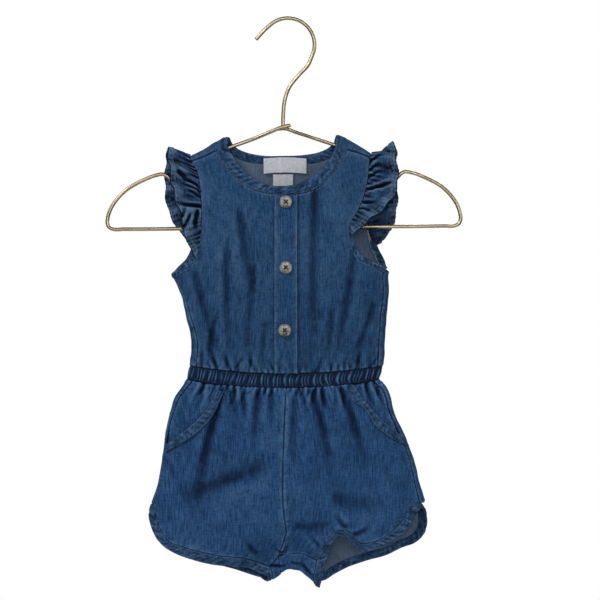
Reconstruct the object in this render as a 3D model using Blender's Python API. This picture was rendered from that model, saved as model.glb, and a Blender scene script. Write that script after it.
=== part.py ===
"""A sleeveless baby romper on a wire hanger, in metres, +Z up, the front facing -Y.

The origin is the inner top of the hanger's hook. Tables give X and Z in millimetres. The cloth is a set of
ring sections: a point of it is a side (front or back), an angle round the body from the side's centre, and a
height. Over each shoulder and under the crotch the back runs round a fold and on to the front.
"""

import math
from collections import namedtuple

import bmesh
import bpy
import numpy as np
from mathutils import Vector

MM = 0.001
FRONT, BACK = -1, 1

# Driving sizes, in millimetres
CLOTH = 1.2
BINDING = 2.4
ARM_BINDING = 2.0
RIBBON = 1.0
SEAM_GAP = 0.5
EDGE_GAP = 1.0
LAY_GAP = 0.35
SIDE_POWER = 0.62
SHOULDER_RADIUS = 5.6
CROTCH_RADIUS = 6.5
SHOULDER_BLEND = 75.0
CROTCH_BLEND = 50.0
WAISTBAND_HEIGHT = 13.4
WAISTBAND_RIBS = 96
WAISTBAND_RIB_HEIGHT = 0.8
WIRE_RADIUS = 1.9
HOOK_RADIUS = 26.5
BUTTON_RADIUS = 6.35
BUTTON_THICKNESS = 2.4

Ring = namedtuple("Ring", "z centre half_width front_depth back_depth")
RINGS = [
    Ring(-100, -4, 140, 15, 13),
    Ring(-150, -4, 140, 16, 14),
    Ring(-185, -4, 140, 17, 15),
    Ring(-205, -4, 140, 18, 15),
    Ring(-228, -5, 129, 19, 16),
    Ring(-242, -7, 113, 20, 17),
    Ring(-254, -8, 108.5, 20, 17),
    Ring(-266, -5, 106, 20, 18),
    Ring(-278, -2.5, 103.5, 20, 18),
    Ring(-296, -1.5, 100.5, 20, 18),
    Ring(-320, 0, 97, 18, 17),
    Ring(-344, -1.5, 96.5, 14.5, 14),
    Ring(-352, -3, 96, 13.5, 13),
    Ring(-360, -5, 96.5, 13.5, 13),
    Ring(-368, -4.5, 103, 17, 17),
    Ring(-376, -5.5, 107.5, 20, 20),
    Ring(-392, -6, 112, 23, 22),
    Ring(-416, -3, 120, 25, 24),
    Ring(-440, 0, 126, 26, 25),
    Ring(-464, 1, 131, 26, 25),
    Ring(-480, 0.5, 136, 26, 25),
    Ring(-496, 1, 140, 26, 25),
    Ring(-512, 1, 140, 25, 25),
    Ring(-600, 1, 140, 24, 24),
]

Line = namedtuple("Line", "x z")
SHOULDER_LINE = [
    Line(-150, -158), Line(-98, -136), Line(-83, -129), Line(-73, -122.5), Line(-63, -118), Line(-50, -116),
    Line(-4, -115), Line(38, -114.5), Line(51, -116), Line(62, -121), Line(72, -127), Line(84, -134),
    Line(140, -158),
]
CROTCH_LINE = [
    Line(-150, -640), Line(-60, -606), Line(-34, -567), Line(-22, -561), Line(-12, -558), Line(-1, -549.5),
    Line(8, -550), Line(16, -553), Line(23, -559.5), Line(29, -566), Line(34, -568.5), Line(44, -576),
    Line(70, -612), Line(150, -640),
]

# A fold runs from its top to its end. A negative depth is a trough.
Fold = namedtuple("Fold", "side x z x_end z_end width depth")
FOLDS = [
    Fold(FRONT, -47, -195, -33, -275, 6.0, -3.0),
    Fold(FRONT, -59, -232, -58, -345, 5.5, -3.2),
    Fold(FRONT, -90, -255, -68, -345, 6.0, -2.6),
    Fold(FRONT, -36, -250, -40, -350, 5.0, -2.4),
    Fold(FRONT, -72, -300, -79, -352, 4.5, -2.6),
    Fold(FRONT, -22, -305, -24, -352, 4.5, -2.2),
    Fold(FRONT, 29, -175, 25, -350, 6.5, -3.0),
    Fold(FRONT, 64, -232, 48, -350, 6.0, -3.0),
    Fold(FRONT, 44, -290, 36, -352, 4.5, -2.4),
    Fold(FRONT, 84, -285, 66, -352, 5.0, -2.6),
    Fold(FRONT, -66, -372, -91, -482, 6.5, -4.6),
    Fold(FRONT, -28, -372, -32, -428, 5.5, -3.4),
    Fold(FRONT, -56, -372, -52, -402, 4.5, -3.2),
    Fold(FRONT, -40, -372, -42, -396, 4.0, -2.6),
    Fold(FRONT, -16, -372, -14, -412, 4.5, -2.6),
    Fold(FRONT, -30, -440, -115, -484, 13.0, -3.4),
    Fold(FRONT, 10, -372, 4, -450, 5.5, -2.6),
    Fold(FRONT, 25, -372, 45, -462, 6.0, -3.6),
    Fold(FRONT, 36, -370, 40, -400, 4.5, -2.8),
    Fold(FRONT, 56, -370, 76, -448, 6.0, -3.6),
    Fold(FRONT, 48, -472, 98, -486, 12.0, -2.6),
    Fold(FRONT, 10, -503, 52, -500, 7.0, -2.4),
    Fold(BACK, -52, -200, -46, -350, 7.0, -2.8),
    Fold(BACK, -74, -262, -66, -350, 6.0, -2.8),
    Fold(BACK, -26, -230, -24, -350, 6.0, -2.4),
    Fold(BACK, -4, -280, -4, -350, 5.0, -2.2),
    Fold(BACK, 20, -220, 18, -350, 6.5, -2.6),
    Fold(BACK, 44, -250, 40, -350, 6.0, -2.8),
    Fold(BACK, 70, -240, 62, -350, 6.5, -3.0),
    Fold(BACK, -82, -372, -98, -450, 6.5, -3.6),
    Fold(BACK, -60, -372, -72, -470, 6.5, -4.0),
    Fold(BACK, -38, -372, -42, -430, 5.5, -3.2),
    Fold(BACK, -18, -372, -20, -450, 5.5, -3.0),
    Fold(BACK, 16, -372, 18, -440, 5.5, -3.0),
    Fold(BACK, 38, -372, 46, -470, 6.5, -3.8),
    Fold(BACK, 62, -372, 72, -440, 6.0, -3.4),
    Fold(BACK, 82, -372, 100, -460, 6.5, -3.6),
]


def smooth(t):
    t = min(max(t, 0.0), 1.0)
    return t * t * (3 - 2 * t)


def column(table, key, name):
    """The smooth curve through one column of a table, as a function of its key column."""
    rows = sorted(table, key=lambda row: getattr(row, key))
    at = np.array([getattr(row, key) for row in rows], float)
    value = np.array([getattr(row, name) for row in rows], float)
    slope = np.gradient(value, at)

    def curve(x):
        i = int(np.clip(np.searchsorted(at, x) - 1, 0, len(at) - 2))
        step = at[i + 1] - at[i]
        t = min(max((x - at[i]) / step, 0.0), 1.0)
        return float(
            value[i] * (1 + 2 * t) * (1 - t) ** 2
            + slope[i] * step * t * (1 - t) ** 2
            + value[i + 1] * t * t * (3 - 2 * t)
            + slope[i + 1] * step * t * t * (t - 1)
        )

    return curve


centre = column(RINGS, "z", "centre")
half_width = column(RINGS, "z", "half_width")
depths = {FRONT: column(RINGS, "z", "front_depth"), BACK: column(RINGS, "z", "back_depth")}
shoulder_top = column(SHOULDER_LINE, "x", "z")
crotch_bottom = column(CROTCH_LINE, "x", "z")


def fold_depth(side, x, z):
    """How far the folds of one side move its cloth out at (x, z)."""
    out = 0.0
    for fold in FOLDS:
        if fold.side != side:
            continue
        dx, dz = fold.x_end - fold.x, fold.z_end - fold.z
        length = math.hypot(dx, dz)
        along = ((x - fold.x) * dx + (z - fold.z) * dz) / length**2
        across = abs((x - fold.x) * dz - (z - fold.z) * dx) / length
        if -0.15 < along < 1.3 and across < 2.6 * fold.width:
            taper = smooth((along + 0.15) / 0.2) * (1 - smooth((along - 0.35) / 0.95))
            out += fold.depth * taper * math.exp(-((across / fold.width) ** 2))
    return out


def depth(side, angle, x, z):
    """The distance of the cloth from the plane between front and back."""
    side_share = abs(math.cos(angle)) ** SIDE_POWER
    plain = (depths[side](z) + fold_depth(side, x, z)) * side_share
    top = smooth((shoulder_top(x) - SHOULDER_RADIUS - z) / SHOULDER_BLEND)
    plain = SHOULDER_RADIUS + (plain - SHOULDER_RADIUS) * top
    bottom = smooth((z - crotch_bottom(x) - CROTCH_RADIUS) / CROTCH_BLEND)
    return CROTCH_RADIUS * side_share + (plain - CROTCH_RADIUS * side_share) * bottom


def skin(side, angle, height):
    """A point of the cloth. Past a shoulder or the crotch, height goes on round the fold to the other side."""
    x = centre(height) + half_width(height) * math.sin(angle)
    if math.cos(angle) < 0:
        side, angle = -side, math.pi - angle
    top = shoulder_top(x) - SHOULDER_RADIUS
    bottom = crotch_bottom(x) + CROTCH_RADIUS
    for base, radius, way in ((top, SHOULDER_RADIUS, 1), (bottom, CROTCH_RADIUS, -1)):
        past = way * (height - base)
        if past <= 0:
            continue
        if past < math.pi * radius:
            turn = past / radius
            return Vector((x, side * radius * math.cos(turn), base + way * radius * math.sin(turn)))
        z = base - way * (past - math.pi * radius)
        return Vector((x, -side * depth(-side, angle, x, z), z))
    return Vector((x, side * depth(side, angle, x, height), height))


def angle_at(x, z):
    return math.asin(min(max((x - centre(z)) / half_width(z), -1.0), 1.0))


def over_fold(side, x, z):
    """The (angle, height) on one side's cloth that comes, round a fold, to (x, z) of the other side."""
    middle = (shoulder_top(x) + crotch_bottom(x)) / 2
    if z > middle:
        return angle_at(x, z), 2 * (shoulder_top(x) - SHOULDER_RADIUS) + math.pi * SHOULDER_RADIUS - z
    return angle_at(x, z), 2 * (crotch_bottom(x) + CROTCH_RADIUS) - math.pi * CROTCH_RADIUS - z


def normal(side, angle, height):
    """The outward direction of the cloth."""
    da, dh = math.radians(0.6), 0.8
    across = skin(side, angle + da, height) - skin(side, angle - da, height)
    up = skin(side, angle, height + dh) - skin(side, angle, height - dh)
    return (across.cross(up) * -side).normalized()


# Seams, as points of (x, z) on the front or the back. Those named TOP or UNDER are points of (x, degrees) on a fold,
# from 0 where the back meets it to 180 where the front does. Those named FORWARD are on the front, past the fold.

NECK_FRONT_LEFT = [(6, -174), (-4, -175), (-18, -174), (-28, -172), (-38, -168), (-48, -161), (-58, -152),
                   (-66, -141), (-71, -131)]
NECK_TOP_LEFT = [(-69.5, 150), (-68, 90), (-65, 30)]
NECK_BACK = [(-61, -128), (-52, -137), (-38, -142), (-26, -143.5), (-4, -144), (19, -143.5), (32, -141.5),
             (44, -136), (52, -127)]
NECK_TOP_RIGHT = [(56, 30), (58.5, 90), (60, 150)]
NECK_FRONT_RIGHT = [(59, -130), (51.5, -145), (43, -157), (34.5, -164.7), (22.3, -171.6), (7, -175)]
COLLAR_FRONT_LEFT = [(6, -165.3), (-4, -167), (-18, -166), (-28, -162), (-38, -156), (-48, -146), (-55, -136),
                     (-60, -127)]
COLLAR_TOP_LEFT = [(-60, 150), (-59, 90), (-57.5, 30)]
COLLAR_BACK = [(-55.5, -124), (-50, -128.5), (-43, -131.5), (-28, -134.8), (-4, -135.3), (17, -134.3),
               (32, -131.3), (41, -127), (46, -122)]
COLLAR_TOP_RIGHT = [(47, 30), (48, 90), (48, 150)]
COLLAR_FRONT_RIGHT = [(47, -127), (43, -137), (34.4, -148.3), (24, -157), (14, -162.5), (7, -166.3)]
SHOULDER_SEAM_LEFT = [(-97, -142), (-84, -137), (-71, -131)]
SHOULDER_SEAM_RIGHT = [(82, -138), (72, -134), (59, -130)]

ARMHOLE_STEPS, ARMHOLE_BACK_STEPS = 11, 9
ARMHOLE_FRONT_LEFT = [(-114.5, -258.5), (-104, -252.5), (-94, -245.5), (-90, -237), (-87, -225), (-86, -210),
                      (-86, -195), (-87, -175), (-89, -160), (-92, -150), (-97, -142)]
ARMHOLE_BACK_LEFT = [(-114.5, -258.5), (-106, -251), (-97, -243), (-91, -231), (-88, -215), (-87, -190),
                     (-90, -165), (-96, -146)]
ARMHOLE_FRONT_RIGHT = [(95.5, -252), (82, -247), (71, -242), (64, -234), (60, -225), (59, -215), (62, -205),
                       (69, -193), (75, -180), (79, -165), (81, -150), (82, -138)]
ARMHOLE_BACK_RIGHT = [(95.5, -252), (91, -243), (84, -231), (80, -215), (79, -190), (80, -165), (83, -147)]
ARM_EDGE_FRONT_LEFT = [(-116.4, -253.4), (-107.5, -247), (-100.5, -240.5), (-96.5, -232), (-94.5, -226)]
ARM_EDGE_BACK_LEFT = [(-116.4, -253.4), (-110, -246), (-103, -239), (-98, -229), (-96, -224)]
ARM_EDGE_FRONT_RIGHT = [(99, -247), (85, -242), (75, -236.5), (69, -229.5), (66, -222), (65, -216)]
ARM_EDGE_BACK_RIGHT = [(99, -247), (97, -240), (91, -228), (89, -223)]

WAIST_SIDE_Z, WAIST_FRONT_DIP, WAIST_BACK_DIP = -352.5, 7.5, 3.5
CENTRE_X = -3
FRONT_CENTRE = [(-2, -371), (-4, -416), (-4, -490), (-1.5, -510)]
FRONT_CROTCH = [(-1.5, -510), (-5, -522), (-8, -529), (-9.5, -535)]
BACK_CENTRE = [(-3, -366), (-3, -430), (-3.5, -500), (-4, -543)]
CENTRE_UNDER = [(-4, 0), (-5, 45), (-6, 90), (-7, 135)]
CENTRE_FORWARD = [(-8.2, -546), (-9, -541), (-9.5, -535)]
LEFT_INSEAM = [(-9.5, -535), (-13, -540), (-18, -546)]
LEFT_UNDER = [(-23, 0), (-19.5, 45), (-17, 90), (-16, 135)]
LEFT_FORWARD = [(-16, -552), (-16.7, -549.5), (-18, -546)]
RIGHT_INSEAM = [(-9.5, -535), (2, -533), (10, -532), (22, -536), (29, -539)]
RIGHT_UNDER = [(27.5, 0), (26.5, 45), (25.8, 90), (25.5, 135)]
RIGHT_FORWARD = [(26, -556), (27.3, -548), (29, -539)]
POCKET_LEFT = [(-121, -424), (-109.3, -415), (-90.2, -399), (-80.6, -387.4), (-71, -369)]
POCKET_LEFT_LOWER = [(-121, -431), (-109.3, -424), (-96, -416), (-80.6, -401.8), (-71, -387.4), (-63.4, -372)]
POCKET_RIGHT = [(112.8, -416), (102.4, -407.5), (88, -394), (78.5, -382.6), (65.6, -366)]
POCKET_RIGHT_LOWER = [(119, -425.7), (97.7, -414), (85, -402.7), (76.6, -389), (63, -378), (58.4, -369)]

POCKET_LOW = {"left": -424, "right": -416}
HEM_TOP = {"left": -484, "right": -482}
CENTRE_STEPS, CROTCH_STEPS, UNDER_STEPS, FORWARD_STEPS = 12, 3, 3, 2
SIDE_STEPS, LEG_BACK_STEPS = 6, 10
LEG_FRONT_STEPS = {"left": 14, "right": 13}
INSEAM_STEPS = {"left": 3, "right": 4}
HEM_FRONT_LEFT = [(-134, -484), (-130.5, -490), (-130, -500), (-125, -510), (-119, -519), (-103, -525),
                  (-88, -529), (-68, -533), (-43, -536), (-28, -542), (-18, -546)]
EDGE_FRONT_LEFT = [(-138, -484), (-139, -490), (-138, -500), (-133, -513), (-125, -523), (-113, -530.5),
                   (-98, -536), (-78, -541), (-58, -543.5), (-40, -546), (-30, -551), (-20, -556)]
HEM_BACK_LEFT = [(-134, -484), (-131, -490), (-129.5, -500), (-125, -510), (-118, -519), (-104, -527), (-86, -535),
                 (-72, -538.5), (-56, -543.5), (-32, -549), (-23, -554.6)]
EDGE_BACK_LEFT = [(-138, -484), (-138.5, -490), (-138, -500), (-133, -515), (-126, -522), (-109, -534.5),
                  (-89, -543), (-74, -547), (-58, -551.5), (-38, -555.5), (-29, -558)]
EDGE_UNDER_LEFT = [(-29, 0), (-25, 45), (-22, 90), (-21, 135)]
EDGE_FORWARD_LEFT = [(-20.5, -558), (-20, -557), (-20, -556)]
HEM_FRONT_RIGHT = [(129, -480), (122, -483), (117, -494), (109, -504), (102, -510), (92, -517), (82, -520),
                   (72, -521), (62, -510), (52, -506), (43, -508), (36.8, -517), (33, -528), (29, -539)]
EDGE_FRONT_RIGHT = [(133, -486), (128, -491), (124, -500), (117, -509), (107, -516), (97, -522), (87, -526),
                    (76, -529), (67, -524), (57, -515), (50, -513.5), (44.5, -519), (41, -530), (37, -541)]
HEM_BACK_RIGHT = [(129, -480), (131, -490), (132, -500), (130, -510), (123, -517.5), (112, -522.5), (97, -530),
                  (77, -536), (57, -543), (43, -549), (34, -555), (27.5, -558)]
EDGE_BACK_RIGHT = [(135, -485), (138.5, -491), (140, -500), (137.5, -514), (129, -524), (115, -530), (99, -538),
                   (80, -543.5), (60, -550.5), (45, -556.5), (37, -561), (32.5, -562)]
EDGE_UNDER_RIGHT = [(32.5, 0), (32, 45), (31.8, 90), (31.8, 135)]
EDGE_FORWARD_RIGHT = [(33, -561.5), (35.5, -553), (37, -541)]

PLACKET_LEFT, PLACKET_RIGHT, PLACKET_TOP, PLACKET_BOTTOM = -14, 10, -176.5, -352.8
PLACKET_THICKNESS = 1.7
BUTTONS = {"button_top": (-2, -183), "button_middle": (-2, -248), "button_bottom": (-3, -310)}

Wrap = namedtuple("Wrap", "z left right")
SIDE_WRAP = [Wrap(-240, 2, 5), Wrap(-262, 3, 6), Wrap(-345, 7, 6), Wrap(-400, 3, 4), Wrap(-484, 2.5, 6)]
side_wrap = {"left": column(SIDE_WRAP, "z", "left"), "right": column(SIDE_WRAP, "z", "right")}


def even(points, segments):
    """Points evenly spaced along the smooth curve through a few points."""
    given = np.array(points, float)
    length = np.concatenate([[0], np.cumsum(np.hypot(*np.diff(given, axis=0).T))])
    slope = np.gradient(given, length, axis=0)
    fine = []
    for i in range(len(given) - 1):
        step = length[i + 1] - length[i]
        for t in np.linspace(0, 1, 12, endpoint=False):
            fine.append(
                given[i] * (1 + 2 * t) * (1 - t) ** 2 + slope[i] * step * t * (1 - t) ** 2
                + given[i + 1] * t * t * (3 - 2 * t) + slope[i + 1] * step * t * t * (t - 1)
            )
    fine = np.array([*fine, given[-1]])
    at = np.concatenate([[0], np.cumsum(np.hypot(*np.diff(fine, axis=0).T))])
    stops = np.linspace(0, at[-1], segments + 1)
    return [tuple(float(np.interp(s, at, fine[:, k])) for k in (0, 1)) for s in stops]


def flat(points, segments):
    """A stretch on the layer itself, as (angle, height)."""
    return [(angle_at(x, z), z) for x, z in even(points, segments)]


def folded(points, segments):
    """A stretch on the front, as (angle, height) of the back cloth that wraps round to it."""
    return [over_fold(BACK, x, z) for x, z in even(points, segments)]


def turned(points, segments, under=False):
    """A stretch on the shoulder or crotch fold, as (angle, height) of the back cloth."""
    found = []
    for x, degrees in even(points, segments):
        base = crotch_bottom(x) + CROTCH_RADIUS if under else shoulder_top(x) - SHOULDER_RADIUS
        radius = -CROTCH_RADIUS if under else SHOULDER_RADIUS
        height = base + radius * math.radians(degrees)
        found.append((angle_at(x, height), height))
    return found


def joined(*stretches):
    """Stretches end to end, with a shared point kept once."""
    out = []
    for stretch in stretches:
        same = out and math.dist(out[-1], stretch[0]) < 1e-6
        out += stretch[1:] if same else stretch
    return out


def waist_z(angle, way):
    """The height of the waistband's middle, or with way 1 or -1 of the cloth's edge above or below it."""
    dip = WAIST_FRONT_DIP if math.cos(angle) > 0 else WAIST_BACK_DIP
    return WAIST_SIDE_Z - dip * math.cos(angle) ** 2 + way * WAISTBAND_HEIGHT / 2


def waist_edge(side, x_from, x_to, segments, way):
    """A panel's edge along the waistband, between two angles."""
    found = []
    for i in range(segments + 1):
        angle = x_from + (x_to - x_from) * i / segments
        found.append((angle, waist_z(angle if side == FRONT else math.pi - angle, way)))
    return found


def seam_angle(side, hand, z):
    """The angle of a side seam. On the back it is past the side, because the back wraps forward."""
    wrap = side_wrap[hand](z)
    angle = math.asin(1 - wrap / half_width(z))
    angle = angle if side == FRONT else math.pi - angle
    return -angle if hand == "left" else angle


def side_seam(side, hand, z_from, z_to, segments):
    heights = [z_from + (z_to - z_from) * i / segments for i in range(segments + 1)]
    return [(seam_angle(side, hand, z), z) for z in heights]


def patch(bottom, top, left, right):
    """The grid of (angle, height) between four edges, each a list of points."""
    across, up = len(bottom) - 1, len(left) - 1
    assert len(top) == len(bottom) and len(right) == len(left), (len(bottom), len(top), len(left), len(right))
    bottom, top, left, right = (np.array(edge) for edge in (bottom, top, left, right))

    def at(i, j):
        u, v = i / across, j / up
        ruled = (1 - v) * bottom[i] + v * top[i] + (1 - u) * left[j] + u * right[j]
        corners = (1 - v) * ((1 - u) * bottom[0] + u * bottom[-1]) + v * ((1 - u) * top[0] + u * top[-1])
        return ruled - corners

    return across, up, at


# Making the pieces

Finish = namedtuple("Finish", "colour roughness metallic")
FINISHES = {
    "chambray": Finish((0.030, 0.072, 0.160), 0.85, 0.0),
    "chambray_binding": Finish((0.040, 0.085, 0.150), 0.85, 0.0),
    "label_ribbon": Finish((0.62, 0.64, 0.68), 0.6, 0.0),
    "horn_button": Finish((0.50, 0.48, 0.38), 0.4, 0.0),
    "brass_wire": Finish((0.45, 0.38, 0.22), 0.35, 1.0),
}


def material(name):
    made = bpy.data.materials.get(name)
    if made:
        return made
    made = bpy.data.materials.new(name)
    made.use_nodes = True
    shader = made.node_tree.nodes["Principled BSDF"]
    finish = FINISHES[name]
    shader.inputs["Base Color"].default_value = (*finish.colour, 1)
    shader.inputs["Roughness"].default_value = finish.roughness
    shader.inputs["Metallic"].default_value = finish.metallic
    return made


def add_object(name, bm, finish):
    """The bmesh as a smooth-shaded object in the romper's collection."""
    mesh = bpy.data.meshes.new(name)
    bm.to_mesh(mesh)
    bm.free()
    mesh.shade_smooth()
    mesh.materials.append(material(finish))
    made = bpy.data.objects.new(name, mesh)
    bpy.data.collections["baby_romper"].objects.link(made)
    return made


def pull_in(bm, gap):
    """Moves the open edges of a panel in by half a seam's gap."""
    moves = {}
    for vert in bm.verts:
        if not vert.is_boundary:
            continue
        inner = [edge.other_vert(vert).co for edge in vert.link_edges if not edge.is_boundary]
        inner = inner or [edge.other_vert(vert).co for edge in vert.link_edges]
        way = sum(((co - vert.co).normalized() for co in inner), Vector())
        ends = [edge.other_vert(vert).co for edge in vert.link_edges if edge.is_boundary]
        along = (ends[1] - ends[0]).normalized()
        moves[vert] = (way - along * way.dot(along)).normalized() * (gap / 2 * MM)
    for vert, move in moves.items():
        vert.co += move


def wall(bm, inner):
    """Closes a grid into a wall. inner maps each of its points to the one below it on the inner face."""
    rim = [edge for edge in bm.edges if edge.is_boundary]
    twin = {vert: bm.verts.new(co) for vert, co in inner.items()}
    for face in list(bm.faces):
        bm.faces.new([twin[vert] for vert in reversed(face.verts)])
    for edge in rim:
        bm.faces.new([*edge.verts, *(twin[vert] for vert in reversed(edge.verts))])
    bmesh.ops.recalc_face_normals(bm, faces=bm.faces)
    if bm.calc_volume(signed=True) < 0:
        bmesh.ops.reverse_faces(bm, faces=bm.faces)


Grid = namedtuple("Grid", "across up place")


def sheet(name, grids, finish, gap=SEAM_GAP):
    """A wall of cloth on grids that share edges. A grid's place(i, j) gives a point of the outer face and the step
    from it to the inner face."""
    bm = bmesh.new()
    step = {}
    for across, up, place in grids:
        made = bmesh.ops.create_grid(bm, x_segments=across, y_segments=up, size=0.5)["verts"]
        for vert in made:
            outer, inward = place(round((vert.co.x + 0.5) * across), round((vert.co.y + 0.5) * up))
            vert.co = outer * MM
            step[vert] = inward
    doubles = bmesh.ops.find_doubles(bm, verts=bm.verts, dist=0.02 * MM)["targetmap"]
    bmesh.ops.weld_verts(bm, targetmap=doubles)
    step = {vert: inward for vert, inward in step.items() if vert.is_valid}
    pull_in(bm, gap)
    wall(bm, {vert: vert.co + inward * MM for vert, inward in step.items()})
    return add_object(name, bm, finish)


def out_from(side, angle, height, distance):
    return skin(side, angle, height) + normal(side, angle, height) * distance


def panel(name, side, *patches, finish="chambray", lift=None):
    """A cut panel of patches that share edges. lift(u, v) moves it out of the cloth's own surface."""
    def laid(across, up, at):
        def place(i, j):
            angle, height = at(i, j)
            out = normal(side, angle, height)
            return skin(side, angle, height) + out * (lift(i / across, j / up) if lift else 0), out * -CLOTH

        return Grid(across, up, place)

    return sheet(name, [laid(*patch) for patch in patches], finish)


def strip(name, inner, outer, rows, thickness, lift, gap=SEAM_GAP):
    """A narrow band between two edges of the same length, each a list of (side, angle, height)."""
    def place(i, j):
        (side, angle, height), (_, angle_end, height_end) = inner[i], outer[i]
        at = side, angle + (angle_end - angle) * j / rows, height + (height_end - height) * j / rows
        return skin(*at) + normal(*at) * lift, normal(*at) * -thickness

    return sheet(name, [Grid(len(inner) - 1, rows, place)], "chambray_binding", gap)


def free_sheet(name, across, up, place, thickness, finish, gap=SEAM_GAP):
    """A wall of cloth that doesn't follow the body: its inner face is found from the slope of place(i, j)."""
    def walled(i, j):
        along = place(min(i + 1, across), j) - place(max(i - 1, 0), j)
        up_way = place(i, min(j + 1, up)) - place(i, max(j - 1, 0))
        return place(i, j), along.cross(up_way).normalized() * -thickness

    return sheet(name, [Grid(across, up, walled)], finish, gap)


def on(side, points):
    return [(side, angle, height) for angle, height in points]


def bodice():
    top, under = WAIST_SIDE_Z + WAISTBAND_HEIGHT / 2, -258.5
    left_seam = side_seam(FRONT, "left", top, under, 7)
    left_armhole = joined(left_seam[:-1], flat(ARMHOLE_FRONT_LEFT, ARMHOLE_STEPS))
    centre_line = [(angle_at(CENTRE_X, z), z) for z in np.linspace(-359.2, -175, len(left_armhole))]
    neck = joined(flat(SHOULDER_SEAM_LEFT, 3), flat(NECK_FRONT_LEFT[::-1], 9)[:-1], [centre_line[-1]])
    bottom = waist_edge(FRONT, left_seam[0][0], angle_at(CENTRE_X, -350), len(neck) - 1, 1)
    centre_line[0], left_armhole[0] = bottom[-1], bottom[0]
    panel("bodice_front_left", FRONT, patch(bottom, neck, left_armhole, centre_line))

    right_seam = side_seam(FRONT, "right", top, -252, 7)
    right_armhole = joined(right_seam[:-1], flat(ARMHOLE_FRONT_RIGHT, ARMHOLE_STEPS))
    neck = joined([centre_line[-1]], flat(NECK_FRONT_RIGHT[::-1], 9), flat(SHOULDER_SEAM_RIGHT[::-1], 3))
    bottom = waist_edge(FRONT, angle_at(CENTRE_X, -350), right_seam[0][0], len(neck) - 1, 1)
    right_armhole[0] = bottom[-1]
    panel("bodice_front_right", FRONT, patch(bottom, neck, centre_line, right_armhole))

    left = joined(
        [(-(math.pi + angle), z) for angle, z in left_seam[:-1]], flat(ARMHOLE_BACK_LEFT, ARMHOLE_BACK_STEPS),
        turned([(-98, 40), (-98, 90), (-98, 150)], 2), folded([(-97, -142), (-97, -142.1)], 1)[:1],
    )
    right = joined(
        [(math.pi - angle, z) for angle, z in right_seam[:-1]], flat(ARMHOLE_BACK_RIGHT, ARMHOLE_BACK_STEPS),
        turned([(84, 40), (84, 90), (83, 150)], 2), folded([(82, -138), (82, -138.1)], 1)[:1],
    )
    top = joined(
        folded(SHOULDER_SEAM_LEFT, 2), turned(NECK_TOP_LEFT, 2), flat(NECK_BACK, 12), turned(NECK_TOP_RIGHT, 2),
        folded(SHOULDER_SEAM_RIGHT[::-1], 2),
    )
    bottom = waist_edge(BACK, left[0][0], right[0][0], len(top) - 1, 1)
    panel("bodice_back", BACK, patch(bottom, top, left, right))


def neck_binding():
    def edge(front_left, top_left, back, top_right, front_right):
        return [
            *on(FRONT, flat(front_left, 9)), *on(BACK, turned(top_left, 2)), *on(BACK, flat(back, 12)),
            *on(BACK, turned(top_right, 2)), *on(FRONT, flat(front_right, 9)),
        ]

    seam = edge(NECK_FRONT_LEFT, NECK_TOP_LEFT, NECK_BACK, NECK_TOP_RIGHT, NECK_FRONT_RIGHT)
    collar = edge(COLLAR_FRONT_LEFT, COLLAR_TOP_LEFT, COLLAR_BACK, COLLAR_TOP_RIGHT, COLLAR_FRONT_RIGHT)
    strip("neck_binding", seam, collar, 2, BINDING, (BINDING - CLOTH) / 2)


def placket():
    rows = 18

    def place(i, j):
        x = PLACKET_LEFT + (PLACKET_RIGHT - PLACKET_LEFT) * i / 3
        z = PLACKET_TOP + (PLACKET_BOTTOM - PLACKET_TOP) * (1 - j / rows)
        out = normal(FRONT, angle_at(x, z), z)
        return skin(FRONT, angle_at(x, z), z) + out * (LAY_GAP + PLACKET_THICKNESS), out * -PLACKET_THICKNESS

    sheet("button_placket", [Grid(3, rows, place)], "chambray")


def armhole_bindings():
    for hand, seam_front, seam_back, edge_front, edge_back in (
        ("left", ARMHOLE_FRONT_LEFT, ARMHOLE_BACK_LEFT, ARM_EDGE_FRONT_LEFT, ARM_EDGE_BACK_LEFT),
        ("right", ARMHOLE_FRONT_RIGHT, ARMHOLE_BACK_RIGHT, ARM_EDGE_FRONT_RIGHT, ARM_EDGE_BACK_RIGHT),
    ):
        front, back = flat(seam_front, ARMHOLE_STEPS)[4::-1], flat(seam_back, ARMHOLE_BACK_STEPS)[:4]
        seam = [*on(FRONT, front), *on(BACK, back)]
        edge = [*on(FRONT, flat(edge_front[::-1], 4)), *on(BACK, flat(edge_back, 3))]
        strip(f"armhole_binding_{hand}", seam, edge, 1, ARM_BINDING, (ARM_BINDING - CLOTH) / 2, EDGE_GAP)


def rib_angles(columns):
    """Angles round the waist that are evenly spaced along its girth, from the front's centre."""
    turns = np.linspace(0, 2 * math.pi, 721)
    points = np.array([skin(FRONT, turn, WAIST_SIDE_Z) for turn in turns])
    girth = np.concatenate([[0], np.cumsum(np.linalg.norm(np.diff(points, axis=0), axis=1))])
    return [float(turn) for turn in np.interp(np.linspace(0, girth[-1], columns + 1), girth, turns)[:-1]]


# The band's section, from its lower outer edge round to its lower inner one: the rise as a share of the half height,
# the distance out of the cloth, and the share of a rib that shows there.
BandCorner = namedtuple("BandCorner", "rise out full")
BAND_SECTION = [
    BandCorner(-1, 0.2, 0.6), BandCorner(0, 0.6, 1.0), BandCorner(1, 0.2, 0.6), BandCorner(1, -1.7, 0.0),
    BandCorner(-1, -1.7, 0.0),
]
COLUMNS_TO_A_RIB = 3


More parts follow.
